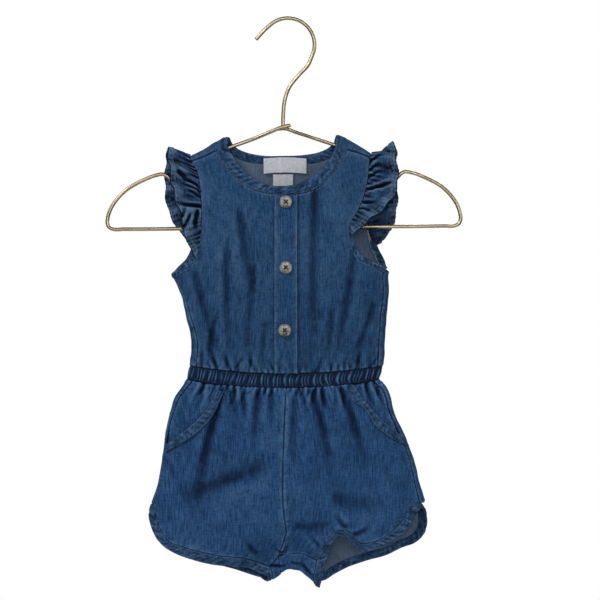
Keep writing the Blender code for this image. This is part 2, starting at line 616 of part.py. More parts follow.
def waistband():
    """A closed ring whose outer face is gathered into ribs and whose inner face is plain."""
    columns, corners = COLUMNS_TO_A_RIB * WAISTBAND_RIBS, len(BAND_SECTION)
    half = (WAISTBAND_HEIGHT - SEAM_GAP) / 2
    angles = rib_angles(columns)
    bm = bmesh.new()
    bmesh.ops.create_grid(bm, x_segments=columns, y_segments=corners, size=0.5)
    for vert in bm.verts:
        i = round((vert.co.x + 0.5) * columns) % columns
        corner = BAND_SECTION[round((vert.co.y + 0.5) * corners) % corners]
        rib = WAISTBAND_RIB_HEIGHT * corner.full * (i % COLUMNS_TO_A_RIB == 1)
        z = waist_z(angles[i], 0) + corner.rise * half
        vert.co = out_from(FRONT, angles[i], z, corner.out + rib) * MM
    bmesh.ops.remove_doubles(bm, verts=bm.verts, dist=1e-6)
    bmesh.ops.recalc_face_normals(bm, faces=bm.faces)
    return add_object("waistband", bm, "chambray_binding")


Hem = namedtuple("Hem", "x y z")
RUFFLE_HEM_LEFT = [
    Hem(-96, -18, -229), Hem(-103, -22, -218), Hem(-104, -25, -204), Hem(-108, -25, -190), Hem(-113, -23, -176),
    Hem(-116, -20, -161), Hem(-118, -15, -146), Hem(-120, -7, -133), Hem(-121, 2, -128.5), Hem(-122.5, 10, -134),
    Hem(-124, 15, -149), Hem(-124.5, 17, -166), Hem(-123.5, 18, -180), Hem(-121, 18, -190), Hem(-117, 19, -200),
    Hem(-111, 19, -210), Hem(-103, 18, -219), Hem(-97, 16, -227),
]
RUFFLE_HEM_RIGHT = [
    Hem(64, -20, -217), Hem(72, -23, -209), Hem(83, -26, -200), Hem(93, -26, -192), Hem(103, -24, -182),
    Hem(108, -22, -170), Hem(110, -20, -158), Hem(108, -17, -145), Hem(107, -11, -132), Hem(107, -3, -124),
    Hem(108, 5, -125), Hem(109, 11, -136), Hem(109.5, 14, -150), Hem(110, 16, -166), Hem(111, 18, -181),
    Hem(109, 19, -195), Hem(106, 19, -207), Hem(99, 18, -217), Hem(90, 16, -225),
]
Ruffle = namedtuple("Ruffle", "seam_front seam_back shoulder hem waves depth")
RUFFLES = {
    "left": Ruffle(
        ARMHOLE_FRONT_LEFT[4:], ARMHOLE_BACK_LEFT[4:], [(-98, 150), (-98, 90), (-98, 40)], RUFFLE_HEM_LEFT, 10, 3.4
    ),
    "right": Ruffle(
        ARMHOLE_FRONT_RIGHT[5:], ARMHOLE_BACK_RIGHT[3:], [(83, 150), (84, 90), (84, 40)], RUFFLE_HEM_RIGHT, 10, 3.4
    ),
}
RUFFLE_COLUMNS, RUFFLE_ROWS, RUFFLE_PUCKER = 40, 4, 0.5


def spaced(points, segments):
    """Points evenly spaced along a polyline in space."""
    given = np.array([tuple(point) for point in points], float)
    at = np.concatenate([[0], np.cumsum(np.linalg.norm(np.diff(given, axis=0), axis=1))])
    stops = np.linspace(0, at[-1], segments + 1)
    return [Vector([float(np.interp(s, at, given[:, k])) for k in range(3)]) for s in stops]


RUFFLE_START, RUFFLE_SWELL = 1.2, 4.4


def ruffles():
    """Each ruffle spreads from the upper armhole seam to its hem in waves that grow towards the hem."""
    for hand, ruffle in RUFFLES.items():
        seam = [
            *on(FRONT, flat(ruffle.seam_front, 16)[1:-1]), *on(BACK, turned(ruffle.shoulder, 4)),
            *on(BACK, flat(ruffle.seam_back[::-1], 14)[1:]),
        ]
        seam = spaced([skin(*point) for point in seam], RUFFLE_COLUMNS)
        hem = spaced(ruffle.hem, RUFFLE_COLUMNS)
        away = -1 if hand == "left" else 1

        def place(i, j, seam=seam, hem=hem, ruffle=ruffle, away=away):
            u, v = i / RUFFLE_COLUMNS, j / RUFFLE_ROWS
            before, after = max(i - 1, 0), min(i + 1, RUFFLE_COLUMNS)
            along = (seam[after] - seam[before]).lerp(hem[after] - hem[before], v)
            out = (along.cross(hem[i] - seam[i]) * -away).normalized()
            start = seam[i] + (hem[i] - seam[i]).normalized() * RUFFLE_START
            fade = math.sin(math.pi * u) ** 0.5
            wave = fade * math.sin(2 * math.pi * ruffle.waves * u + 0.9 * v)
            wave *= RUFFLE_PUCKER + (ruffle.depth - RUFFLE_PUCKER) * v
            return start.lerp(hem[i], v) + out * (wave + RUFFLE_SWELL * math.sin(math.pi * v / 2) * (1 - v))

        free_sheet(f"ruffle_{hand}", RUFFLE_COLUMNS, RUFFLE_ROWS, place, CLOTH * -away, "chambray")


def shorts():
    waist = WAIST_SIDE_Z - WAISTBAND_HEIGHT / 2
    centre_seam = joined(flat(FRONT_CROTCH, CROTCH_STEPS)[::-1], flat(FRONT_CENTRE, CENTRE_STEPS)[::-1])

    inner = joined(flat([LEFT_INSEAM[0], LEFT_INSEAM[-1]], 1)[::-1], centre_seam)
    seam = side_seam(FRONT, "left", HEM_TOP["left"], POCKET_LOW["left"], SIDE_STEPS)
    outer = joined(seam[:-1], flat(POCKET_LEFT, len(inner) - 1 - SIDE_STEPS))
    bottom = flat(HEM_FRONT_LEFT, LEG_FRONT_STEPS["left"])
    top = waist_edge(FRONT, outer[-1][0], inner[-1][0], len(bottom) - 1, -1)
    bottom[0], bottom[-1], outer[-1], inner[-1] = outer[0], inner[0], top[0], top[-1]
    panel("shorts_front_left", FRONT, patch(bottom, top, outer, inner))

    inner = list(centre_seam)
    seam = side_seam(FRONT, "right", HEM_TOP["right"], POCKET_LOW["right"], SIDE_STEPS)
    outer = joined(seam[:-1], flat(POCKET_RIGHT, len(inner) - 1 - SIDE_STEPS))
    inseam = flat(RIGHT_INSEAM, INSEAM_STEPS["right"])
    bottom = joined(inseam[:-1], flat(HEM_FRONT_RIGHT[::-1], LEG_FRONT_STEPS["right"]))
    top = waist_edge(FRONT, inner[-1][0], outer[-1][0], len(bottom) - 1, -1)
    bottom[0], bottom[-1], inner[-1], outer[-1] = inner[0], outer[0], top[0], top[-1]
    panel("shorts_front_right", FRONT, patch(bottom, top, inner, outer))

    under = [*turned(CENTRE_UNDER, UNDER_STEPS, under=True), *folded(CENTRE_FORWARD, FORWARD_STEPS)]
    centre_back = [under[0], *flat(BACK_CENTRE, CENTRE_STEPS)[::-1]]
    rows = len(centre_back) - 1
    for hand, inseam, leg_under, leg_forward, hem in (
        ("left", LEFT_INSEAM, LEFT_UNDER, LEFT_FORWARD, HEM_BACK_LEFT),
        ("right", RIGHT_INSEAM, RIGHT_UNDER, RIGHT_FORWARD, HEM_BACK_RIGHT),
    ):
        steps, split = INSEAM_STEPS[hand], POCKET_LOW[hand]
        leg = [*turned(leg_under, UNDER_STEPS, under=True), *folded(leg_forward, FORWARD_STEPS)]
        outer = joined(
            side_seam(BACK, hand, HEM_TOP[hand], split, SIDE_STEPS), side_seam(BACK, hand, split, waist, rows - SIDE_STEPS)
        )
        fold_line = turned([(CENTRE_UNDER[0][0], 0), (leg_under[0][0], 0)], steps, under=True)
        bottom = joined(fold_line[:-1], flat(hem[::-1], LEG_BACK_STEPS))
        leg[0] = fold_line[-1] = bottom[len(fold_line) - 1]
        top = waist_edge(BACK, centre_back[-1][0], outer[-1][0], len(bottom) - 1, -1)
        bottom[-1], outer[-1] = outer[0], top[-1]
        crotch = patch(folded(inseam, steps), fold_line, under[::-1], leg[::-1])
        panel(f"shorts_back_{hand}", BACK, patch(bottom, top, [*centre_back[:-1], top[0]], outer), crotch)


POCKET_STEPS, POCKET_COLUMNS, POCKET_BINDING_STEPS = 9, 6, 12
FACING_UNDER, FACING_DROP = 5, 4
FACING_CORNER, FACING_CORNER_DROP = 1.5, 6


def facing_lift(away, up):
    """How far a pocket facing lies under the cloth: least at the side seam's lower end, where they are sewn."""
    return -(CLOTH + 3 * LAY_GAP) * min(1, max(0.3 + away / 0.4, 1.3 - 3 * up))


def pockets():
    """Each pocket's facing, seen at the side above the slanted opening, and the binding along the opening."""
    for hand, curve, lower in (("left", POCKET_LEFT, POCKET_LEFT_LOWER), ("right", POCKET_RIGHT, POCKET_RIGHT_LOWER)):
        sign = -1 if hand == "left" else 1
        (corner_x, corner_z), (top_x, top_z) = curve[0], curve[-1]
        hidden = [
            (corner_x - sign * FACING_CORNER, corner_z - FACING_CORNER_DROP),
            *((x - sign * FACING_UNDER, z - FACING_DROP) for x, z in curve[1:-1]),
            (top_x - sign * FACING_UNDER, top_z),
        ]
        seam = side_seam(FRONT, hand, POCKET_LOW[hand], WAIST_SIDE_Z - WAISTBAND_HEIGHT / 2, POCKET_STEPS)
        inner = flat(hidden, POCKET_STEPS)
        top = waist_edge(FRONT, seam[-1][0], inner[-1][0], POCKET_COLUMNS, -1)
        bottom = [tuple(point) for point in np.linspace(seam[0], inner[0], POCKET_COLUMNS + 1)]
        seam[-1], inner[-1] = top[0], top[-1]
        if hand == "left":
            panel("pocket_facing_left", FRONT, patch(bottom, top, seam, inner), lift=facing_lift)
        else:
            grid = patch(bottom[::-1], top[::-1], inner, seam)
            panel("pocket_facing_right", FRONT, grid, lift=lambda u, v: facing_lift(1 - u, v))
        strip(
            f"pocket_binding_{hand}", on(FRONT, flat(lower, POCKET_BINDING_STEPS)),
            on(FRONT, flat(curve, POCKET_BINDING_STEPS)), 2, CLOTH, CLOTH + 2 * LAY_GAP,
        )


def leg_ring(hand, front, forward, under, back):
    """A line round a leg, from the side seam along the front, under the crotch and back along the back."""
    return [
        *on(FRONT, flat(front, LEG_FRONT_STEPS[hand])[:-1]), *on(BACK, folded(forward[::-1], FORWARD_STEPS)),
        *on(BACK, turned(under[::-1], UNDER_STEPS, under=True)[:-1]), *on(BACK, flat(back[::-1], LEG_BACK_STEPS)),
    ]


def leg_bindings():
    left = leg_ring("left", HEM_FRONT_LEFT, LEFT_FORWARD, LEFT_UNDER, HEM_BACK_LEFT)
    left_edge = leg_ring("left", EDGE_FRONT_LEFT, EDGE_FORWARD_LEFT, EDGE_UNDER_LEFT, EDGE_BACK_LEFT)
    right = leg_ring("right", HEM_FRONT_RIGHT, RIGHT_FORWARD, RIGHT_UNDER, HEM_BACK_RIGHT)
    right_edge = leg_ring("right", EDGE_FRONT_RIGHT, EDGE_FORWARD_RIGHT, EDGE_UNDER_RIGHT, EDGE_BACK_RIGHT)
    for hand, seam, edge in (("left", left, left_edge), ("right", right, right_edge)):
        low = HEM_TOP[hand] - EDGE_GAP / 2
        seam[0], seam[-1] = ((side, seam_angle(side, hand, low), low) for side in (FRONT, BACK))
        _, angle, height = edge[0]
        edge[-1] = BACK, math.copysign(math.pi, angle) - angle, height
        strip(f"leg_binding_{hand}", seam, edge, 1, BINDING, (BINDING - CLOTH) / 2, EDGE_GAP)


BUTTON_HOLE_RADIUS, BUTTON_HOLE_PITCH = 0.85, 1.6


def buttons():
    """Four-hole buttons, just clear of the placket."""
    outline = bpy.data.curves.new("button_outline", "CURVE")
    outline.dimensions, outline.fill_mode = "2D", "BOTH"
    outline.extrude = BUTTON_THICKNESS / 2 * MM
    holes = [(a, b) for a in (-BUTTON_HOLE_PITCH, BUTTON_HOLE_PITCH) for b in (-BUTTON_HOLE_PITCH, BUTTON_HOLE_PITCH)]
    for x, y, radius, sides in [(0, 0, BUTTON_RADIUS, 28), *((a, b, BUTTON_HOLE_RADIUS, 8) for a, b in holes)]:
        ring = outline.splines.new("POLY")
        ring.points.add(sides - 1)
        for k, point in enumerate(ring.points):
            turn = 2 * math.pi * k / sides
            point.co = ((x + radius * math.cos(turn)) * MM, (y + radius * math.sin(turn)) * MM, 0, 1)
        ring.use_cyclic_u = True
    outline.materials.append(material("horn_button"))
    for name, (x, z) in BUTTONS.items():
        round_it = [(x + dx, z + dz) for dx in (-6, 0, 6) for dz in (-6, 0, 6)]
        reach = [out_from(FRONT, angle_at(*at), at[1], LAY_GAP + PLACKET_THICKNESS).y for at in round_it]
        made = bpy.data.objects.new(name, outline)
        made.location = Vector((x, min(reach) - LAY_GAP - BUTTON_THICKNESS / 2, z)) * MM
        made.rotation_euler = (math.radians(90), 0, 0)
        bpy.data.collections["baby_romper"].objects.link(made)


LABEL_HALF_WIDTH, LABEL_TOP, LABEL_BOTTOM, LABEL_ARCH = 21.5, -138, -153, 1.2
TAB_LEFT, TAB_RIGHT, TAB_BOTTOM = -15, 5, -165
LABEL_SINK = (BINDING + CLOTH) / 2 + LAY_GAP


def labels():
    """The neck label and the size tab below it, both bare, on the inside of the back."""
    def label(i, j):
        x = CENTRE_X + LABEL_HALF_WIDTH * (i / 4 - 1)
        arch = LABEL_ARCH * (1 - (i / 4 - 1) ** 2)
        z = LABEL_BOTTOM + (LABEL_TOP - LABEL_BOTTOM) * j / 3 + arch
        out = normal(BACK, angle_at(x, z), z)
        return skin(BACK, angle_at(x, z), z) - out * LABEL_SINK, out * -RIBBON

    def tab(i, j):
        x = TAB_LEFT + (TAB_RIGHT - TAB_LEFT) * i / 4
        z = TAB_BOTTOM + (LABEL_BOTTOM - 0.6 - TAB_BOTTOM) * j / 2
        out = normal(BACK, angle_at(x, z), z)
        return skin(BACK, angle_at(x, z), z) - out * LABEL_SINK, out * -RIBBON

    sheet("neck_label", [Grid(8, 3, label)], "label_ribbon", gap=0)
    sheet("size_tab", [Grid(4, 2, tab)], "label_ribbon", gap=0)


Bend = namedtuple("Bend", "out z")
HANGER_CENTRE, HANGER_TILT = -4, math.radians(0.6)
HANGER_HALF = [
    Bend(30, -118.4), Bend(55, -127), Bend(88, -138.7), Bend(95, -140.8), Bend(99, -144), Bend(103, -152.5),
    Bend(106, -158.6), Bend(109, -160.8), Bend(113, -158.9), Bend(117, -154.8), Bend(121, -153), Bend(128, -154),
    Bend(139, -158), Bend(148, -162.3), Bend(156, -167), Bend(163, -173), Bend(169, -180), Bend(173.5, -187.5),
    Bend(176, -195), Bend(176.6, -201), Bend(175, -205.2), Bend(171, -207.3), Bend(160, -207.5), Bend(80, -207.5),
]
NECK_CROSSING = 4.15
ARM_END_LEFT = [(2.6, -105.6), (-6, -107.6), (-18, -112.4)]
ARM_END_RIGHT = [(-10.6, -108.6), (-4, -108.2), (10, -112.6)]
HOOK_TIP = [(-32, -19.5), (-25.5, -12.2), (-20.5, -7.3)]
HOOK_SHANK = [(20.6, -44), (10.5, -55.5), (1.5, -67), (-3.2, -80), (-4.8, -95), (-5, -110)]
HOOK_ARC_START, HOOK_ARC_END = 128, -26
WIRE_STEP = 6


def wire(name, points):
    """A round wire through points of (x, y, z) in millimetres."""
    curve = bpy.data.curves.new(name, "CURVE")
    curve.dimensions = "3D"
    curve.bevel_depth, curve.bevel_resolution, curve.use_fill_caps = WIRE_RADIUS * MM, 2, True
    line = curve.splines.new("POLY")
    line.points.add(len(points) - 1)
    for point, co in zip(line.points, points):
        point.co = (*(c * MM for c in co), 1)
    curve.materials.append(material("brass_wire"))
    bpy.data.collections["baby_romper"].objects.link(bpy.data.objects.new(name, curve))


def hanger():
    arc = [
        (HOOK_RADIUS * math.cos(math.radians(a)), WIRE_RADIUS - HOOK_RADIUS + HOOK_RADIUS * math.sin(math.radians(a)))
        for a in np.linspace(HOOK_ARC_START, HOOK_ARC_END, 15)
    ]
    hook = even([*HOOK_TIP, *arc, *HOOK_SHANK], 38)
    wire("hanger_hook", [(x, 0, z) for x, z in hook])

    def half(hand, arm_end, crossing):
        away = -1 if hand == "left" else 1
        rows = [(HANGER_CENTRE + away * bend.out, 0, bend.z) for bend in HANGER_HALF]
        tilted = [
            (x, y, z + (x - HANGER_CENTRE) * math.tan(HANGER_TILT)) for x, y, z in rows
        ]
        return [(x, crossing * (1 if k < 2 else 0.75), z) for k, (x, z) in enumerate(arm_end)] + tilted

    left = half("left", ARM_END_LEFT, -NECK_CROSSING)
    right = half("right", ARM_END_RIGHT, NECK_CROSSING)
    wire("hanger_frame", left + right[::-1])


def main():
    for old in list(bpy.data.objects):
        bpy.data.objects.remove(old)
    romper = bpy.data.collections.new("baby_romper")
    bpy.context.scene.collection.children.link(romper)
    bodice()
    neck_binding()
    placket()
    armhole_bindings()
    ruffles()
    waistband()
    shorts()
    pockets()
    leg_bindings()
    buttons()
    labels()
    hanger()


main()
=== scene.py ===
"""The looks of a baby romper on a wire hanger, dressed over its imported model.

Tables give X and Z in millimetres, with Z down from the hanger's hook. The cloth is a set of ring sections: a point
of it is a side (front or back), an angle round the body from that side's centre, and a height. Over each shoulder
and under the crotch the back runs round a fold and on to the front.
"""

import math
from collections import namedtuple

import bmesh
import bpy
import numpy as np
from mathutils import Matrix, Vector


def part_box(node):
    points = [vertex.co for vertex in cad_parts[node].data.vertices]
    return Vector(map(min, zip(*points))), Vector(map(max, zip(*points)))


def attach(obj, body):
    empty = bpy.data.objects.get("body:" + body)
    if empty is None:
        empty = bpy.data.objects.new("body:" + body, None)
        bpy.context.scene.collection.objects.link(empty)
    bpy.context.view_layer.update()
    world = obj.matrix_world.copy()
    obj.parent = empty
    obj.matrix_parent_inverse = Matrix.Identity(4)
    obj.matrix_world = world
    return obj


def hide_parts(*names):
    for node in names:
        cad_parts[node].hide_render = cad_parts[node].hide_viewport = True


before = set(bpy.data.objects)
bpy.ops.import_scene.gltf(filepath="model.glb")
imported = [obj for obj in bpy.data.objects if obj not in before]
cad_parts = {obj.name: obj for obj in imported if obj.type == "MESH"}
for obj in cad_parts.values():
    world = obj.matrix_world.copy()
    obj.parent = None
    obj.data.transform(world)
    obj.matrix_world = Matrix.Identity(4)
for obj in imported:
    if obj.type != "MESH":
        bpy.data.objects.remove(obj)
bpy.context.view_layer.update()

MM = 0.001
FRONT, BACK = -1, 1

CLOTH, BINDING = 1.1, 2.4  # thicknesses
EDGE_GAP = 1.0
SIDE_POWER = 0.62  # how the rings' sections thin towards the sides
SHOULDER_RADIUS, CROTCH_RADIUS = 5.6, 6.5
SHOULDER_BLEND, CROTCH_BLEND = 75.0, 50.0  # how far below and above those folds the cloth reaches its full depth
WAISTBAND_HEIGHT = 13.4
WIRE_RADIUS = 1.9
HOOK_RADIUS = 26.5
BUTTON_RADIUS = 6.35

Ring = namedtuple("Ring", "z centre half_width front_depth back_depth")
RINGS = [Ring(*row) for row in [
    (-100, -4, 140, 15, 13), (-150, -4, 140, 16, 14), (-185, -4, 140, 17, 15), (-205, -4, 140, 18, 15),
    (-228, -5, 129, 19, 16), (-242, -7, 113, 20, 17), (-254, -8, 108.5, 20, 17), (-266, -5, 106, 20, 18),
    (-278, -2.5, 103.5, 20, 18), (-296, -1.5, 100.5, 20, 18), (-320, 0, 97, 18, 17), (-344, -1.5, 96.5, 14.5, 14),
    (-352, -3, 96, 13.5, 13), (-360, -5, 96.5, 13.5, 13), (-368, -4.5, 103, 17, 17), (-376, -5.5, 107.5, 20, 20),
    (-392, -6, 112, 23, 22), (-416, -3, 120, 25, 24), (-440, 0, 126, 26, 25), (-464, 1, 131, 26, 25),
    (-480, 0.5, 136, 26, 25), (-496, 1, 140, 26, 25), (-512, 1, 140, 25, 25), (-600, 1, 140, 24, 24),
]]

Line = namedtuple("Line", "x z")
SHOULDER_LINE = [Line(*row) for row in [
    (-150, -158), (-98, -136), (-83, -129), (-73, -122.5), (-63, -118), (-50, -116), (-4, -115), (38, -114.5),
    (51, -116), (62, -121), (72, -127), (84, -134), (140, -158),
]]
CROTCH_LINE = [Line(*row) for row in [
    (-150, -640), (-60, -606), (-34, -567), (-22, -561), (-12, -558), (-1, -549.5), (8, -550), (16, -553),
    (23, -559.5), (29, -566), (34, -568.5), (44, -576), (70, -612), (150, -640),
]]

# A fold runs from its top to its end. A negative depth is a trough.
Fold = namedtuple("Fold", "side x z x_end z_end width depth")
FOLDS = [Fold(side, *row) for side, rows in [
    (FRONT, [
        (-47, -195, -33, -275, 6.0, -3.0), (-59, -232, -58, -345, 5.5, -3.2), (-90, -255, -68, -345, 6.0, -2.6),
        (-36, -250, -40, -350, 5.0, -2.4), (-72, -300, -79, -352, 4.5, -2.6), (-22, -305, -24, -352, 4.5, -2.2),
        (29, -175, 25, -350, 6.5, -3.0), (64, -232, 48, -350, 6.0, -3.0), (44, -290, 36, -352, 4.5, -2.4),
        (84, -285, 66, -352, 5.0, -2.6), (-66, -372, -91, -482, 6.5, -4.6), (-28, -372, -32, -428, 5.5, -3.4),
        (-56, -372, -52, -402, 4.5, -3.2), (-40, -372, -42, -396, 4.0, -2.6), (-16, -372, -14, -412, 4.5, -2.6),
        (-30, -440, -115, -484, 13.0, -3.4), (10, -372, 4, -450, 5.5, -2.6), (25, -372, 45, -462, 6.0, -3.6),
        (36, -370, 40, -400, 4.5, -2.8), (56, -370, 76, -448, 6.0, -3.6), (48, -472, 98, -486, 12.0, -2.6),
        (10, -503, 52, -500, 7.0, -2.4),
    ]),
    (BACK, [
        (-52, -200, -46, -350, 7.0, -2.8), (-74, -262, -66, -350, 6.0, -2.8), (-26, -230, -24, -350, 6.0, -2.4),
        (-4, -280, -4, -350, 5.0, -2.2), (20, -220, 18, -350, 6.5, -2.6), (44, -250, 40, -350, 6.0, -2.8),
        (70, -240, 62, -350, 6.5, -3.0), (-82, -372, -98, -450, 6.5, -3.6), (-60, -372, -72, -470, 6.5, -4.0),
        (-38, -372, -42, -430, 5.5, -3.2), (-18, -372, -20, -450, 5.5, -3.0), (16, -372, 18, -440, 5.5, -3.0),
        (38, -372, 46, -470, 6.5, -3.8), (62, -372, 72, -440, 6.0, -3.4), (82, -372, 100, -460, 6.5, -3.6),
    ]),
] for row in rows]


def smooth(t):
    t = np.clip(t, 0.0, 1.0)
    return t * t * (3 - 2 * t)


def between(value, slope, i, step, t):
    """A point of the smooth curve through values with these slopes, a share t of the way from the ith to the next."""
    return (
        value[i] * (1 + 2 * t) * (1 - t) ** 2 + slope[i] * step * t * (1 - t) ** 2
        + value[i + 1] * t * t * (3 - 2 * t) + slope[i + 1] * step * t * t * (t - 1)
    )


def column(table, key, name):
    """The smooth curve through one column of a table, as a function of its key column."""
    rows = sorted(table, key=lambda row: getattr(row, key))
    at, value = (np.array([getattr(row, which) for row in rows], float) for which in (key, name))
    slope = np.gradient(value, at)

    def curve(x):
        x = np.asarray(x, float)
        i = np.clip(np.searchsorted(at, x) - 1, 0, len(at) - 2)
        step = at[i + 1] - at[i]
        t = np.clip((x - at[i]) / step, 0.0, 1.0)
        return between(value, slope, i, step, t)

    return curve


centre, half_width, front_depth, back_depth = (column(RINGS, "z", name) for name in Ring._fields[1:])
shoulder_top, crotch_bottom = column(SHOULDER_LINE, "x", "z"), column(CROTCH_LINE, "x", "z")


def along_fold(fold, x, z):
    """How far along a fold the points lie, from 0 to 1, and how far beside it in millimetres."""
    dx, dz = fold.x_end - fold.x, fold.z_end - fold.z
    length = math.hypot(dx, dz)
    along = ((x - fold.x) * dx + (z - fold.z) * dz) / length**2
    return along, ((x - fold.x) * dz - (z - fold.z) * dx) / length


FOLD_START, FOLD_STOP, FOLD_REACH = -0.15, 1.3, 2.6  # shares of a fold's length, and widths beside it


def fold_depth(side, x, z):
    """How far the folds of one side move its cloth out at (x, z)."""
    out = np.zeros(np.shape(x))
    for fold in FOLDS:
        along, across = along_fold(fold, x, z)
        near = (side == fold.side) & (along > FOLD_START) & (along < FOLD_STOP)
        near = near & (abs(across) < FOLD_REACH * fold.width)
        taper = smooth((along - FOLD_START) / 0.2) * (1 - smooth((along - 0.35) / (FOLD_STOP - 0.35)))
        out += np.where(near, fold.depth * taper * np.exp(-((across / fold.width) ** 2)), 0)
    return out


def depth(side, angle, x, z):
    """The distance of the cloth from the plane between front and back."""
    side_share = abs(np.cos(angle)) ** SIDE_POWER
    plain = (np.where(side == FRONT, front_depth(z), back_depth(z)) + fold_depth(side, x, z)) * side_share
    top = smooth((shoulder_top(x) - SHOULDER_RADIUS - z) / SHOULDER_BLEND)
    plain = SHOULDER_RADIUS + (plain - SHOULDER_RADIUS) * top
    bottom = smooth((z - crotch_bottom(x) - CROTCH_RADIUS) / CROTCH_BLEND)
    return CROTCH_RADIUS * side_share + (plain - CROTCH_RADIUS * side_share) * bottom


def skin(side, angle, height):
    """Points of the cloth. Past a shoulder or the crotch, height goes on round the fold to the other side."""
    side, angle, height = (np.asarray(part, float) for part in np.broadcast_arrays(side, angle, height))
    x = centre(height) + half_width(height) * np.sin(angle)
    behind = np.cos(angle) < 0
    side, angle = np.where(behind, -side, side), np.where(behind, np.pi - angle, angle)
    y, z = side * depth(side, angle, x, height), height
    top, bottom = shoulder_top(x) - SHOULDER_RADIUS, crotch_bottom(x) + CROTCH_RADIUS
    for base, radius, way in ((top, SHOULDER_RADIUS, 1), (bottom, CROTCH_RADIUS, -1)):
        past = way * (height - base)
        turn = np.clip(past / radius, 0, np.pi)
        beyond = base - way * (past - np.pi * radius)
        y = np.where(past > 0, side * radius * np.cos(turn), y)
        z = np.where(past > 0, base + way * radius * np.sin(turn), z)
        y = np.where(past > np.pi * radius, -side * depth(-side, angle, x, beyond), y)
        z = np.where(past > np.pi * radius, beyond, z)
    return np.stack([x, y, z], -1)


def unit(vectors):
    return vectors / np.maximum(np.linalg.norm(vectors, axis=-1, keepdims=True), 1e-9)


def normal(side, angle, height):
    """The outward direction of the cloth."""
    da, dh = math.radians(0.6), 0.8
    across = skin(side, angle + da, height) - skin(side, angle - da, height)
    up = skin(side, angle, height + dh) - skin(side, angle, height - dh)
    return unit(np.cross(across, up) * -np.asarray(side, float)[..., None])


def angle_at(x, z):
    return np.arcsin(np.clip((x - centre(z)) / half_width(z), -1.0, 1.0))


def curve_through(points, segments=None):
    """Points along the smooth curve through a few points, evenly spaced if segments are given."""
    given = np.array(points, float)
    length = np.concatenate([[0], np.cumsum(np.linalg.norm(np.diff(given, axis=0), axis=1))])
    slope = np.gradient(given, length, axis=0)
    fine = [
        between(given, slope, i, length[i + 1] - length[i], t)
        for i in range(len(given) - 1) for t in np.linspace(0, 1, 12, endpoint=False)
    ]
    fine = np.array([*fine, given[-1]])
    return resampled(fine, segments) if segments else fine


def resampled(points, segments):
    """Evenly spaced points along a polyline."""
    at = np.concatenate([[0], np.cumsum(np.linalg.norm(np.diff(points, axis=0), axis=1))])
    stops = np.linspace(0, at[-1], segments + 1)
    return np.stack([np.interp(stops, at, points[:, k]) for k in range(points.shape[1])], 1)


# Seams

NECK_FRONT_LEFT = [(6, -174), (-4, -175), (-18, -174), (-28, -172), (-38, -168), (-48, -161), (-58, -152),
                   (-66, -141), (-71, -131)]
NECK_TOP_LEFT = [(-69.5, 150), (-68, 90), (-65, 30)]
NECK_BACK = [(-61, -128), (-52, -137), (-38, -142), (-26, -143.5), (-4, -144), (19, -143.5), (32, -141.5),
             (44, -136), (52, -127)]
NECK_TOP_RIGHT = [(56, 30), (58.5, 90), (60, 150)]
NECK_FRONT_RIGHT = [(59, -130), (51.5, -145), (43, -157), (34.5, -164.7), (22.3, -171.6), (7, -175)]
COLLAR_FRONT_LEFT = [(6, -165.3), (-4, -167), (-18, -166), (-28, -162), (-38, -156), (-48, -146), (-55, -136),
                     (-60, -127)]
COLLAR_TOP_LEFT = [(-60, 150), (-59, 90), (-57.5, 30)]
COLLAR_BACK = [(-55.5, -124), (-50, -128.5), (-43, -131.5), (-28, -134.8), (-4, -135.3), (17, -134.3),
               (32, -131.3), (41, -127), (46, -122)]
COLLAR_TOP_RIGHT = [(47, 30), (48, 90), (48, 150)]
COLLAR_FRONT_RIGHT = [(47, -127), (43, -137), (34.4, -148.3), (24, -157), (14, -162.5), (7, -166.3)]
SHOULDER_SEAM_LEFT = [(-97, -142), (-84, -137), (-71, -131)]
SHOULDER_SEAM_RIGHT = [(82, -138), (72, -134), (59, -130)]

ARMHOLE_FRONT_LEFT = [(-114.5, -258.5), (-104, -252.5), (-94, -245.5), (-90, -237), (-87, -225), (-86, -210),
                      (-86, -195), (-87, -175), (-89, -160), (-92, -150), (-97, -142)]
ARMHOLE_BACK_LEFT = [(-114.5, -258.5), (-106, -251), (-97, -243), (-91, -231), (-88, -215), (-87, -190),
                     (-90, -165), (-96, -146)]
ARMHOLE_FRONT_RIGHT = [(95.5, -252), (82, -247), (71, -242), (64, -234), (60, -225), (59, -215), (62, -205),
                       (69, -193), (75, -180), (79, -165), (81, -150), (82, -138)]
ARMHOLE_BACK_RIGHT = [(95.5, -252), (91, -243), (84, -231), (80, -215), (79, -190), (80, -165), (83, -147)]
ARMHOLE_TOP_LEFT, ARMHOLE_TOP_RIGHT = [(-98, 40), (-98, 90), (-98, 150)], [(84, 40), (84, 90), (83, 150)]
ARM_EDGE_FRONT_LEFT = [(-116.4, -253.4), (-107.5, -247), (-100.5, -240.5), (-96.5, -232), (-94.5, -226)]
ARM_EDGE_BACK_LEFT = [(-116.4, -253.4), (-110, -246), (-103, -239), (-98, -229), (-96, -224)]
ARM_EDGE_FRONT_RIGHT = [(99, -247), (85, -242), (75, -236.5), (69, -229.5), (66, -222), (65, -216)]
ARM_EDGE_BACK_RIGHT = [(99, -247), (97, -240), (91, -228), (89, -223)]

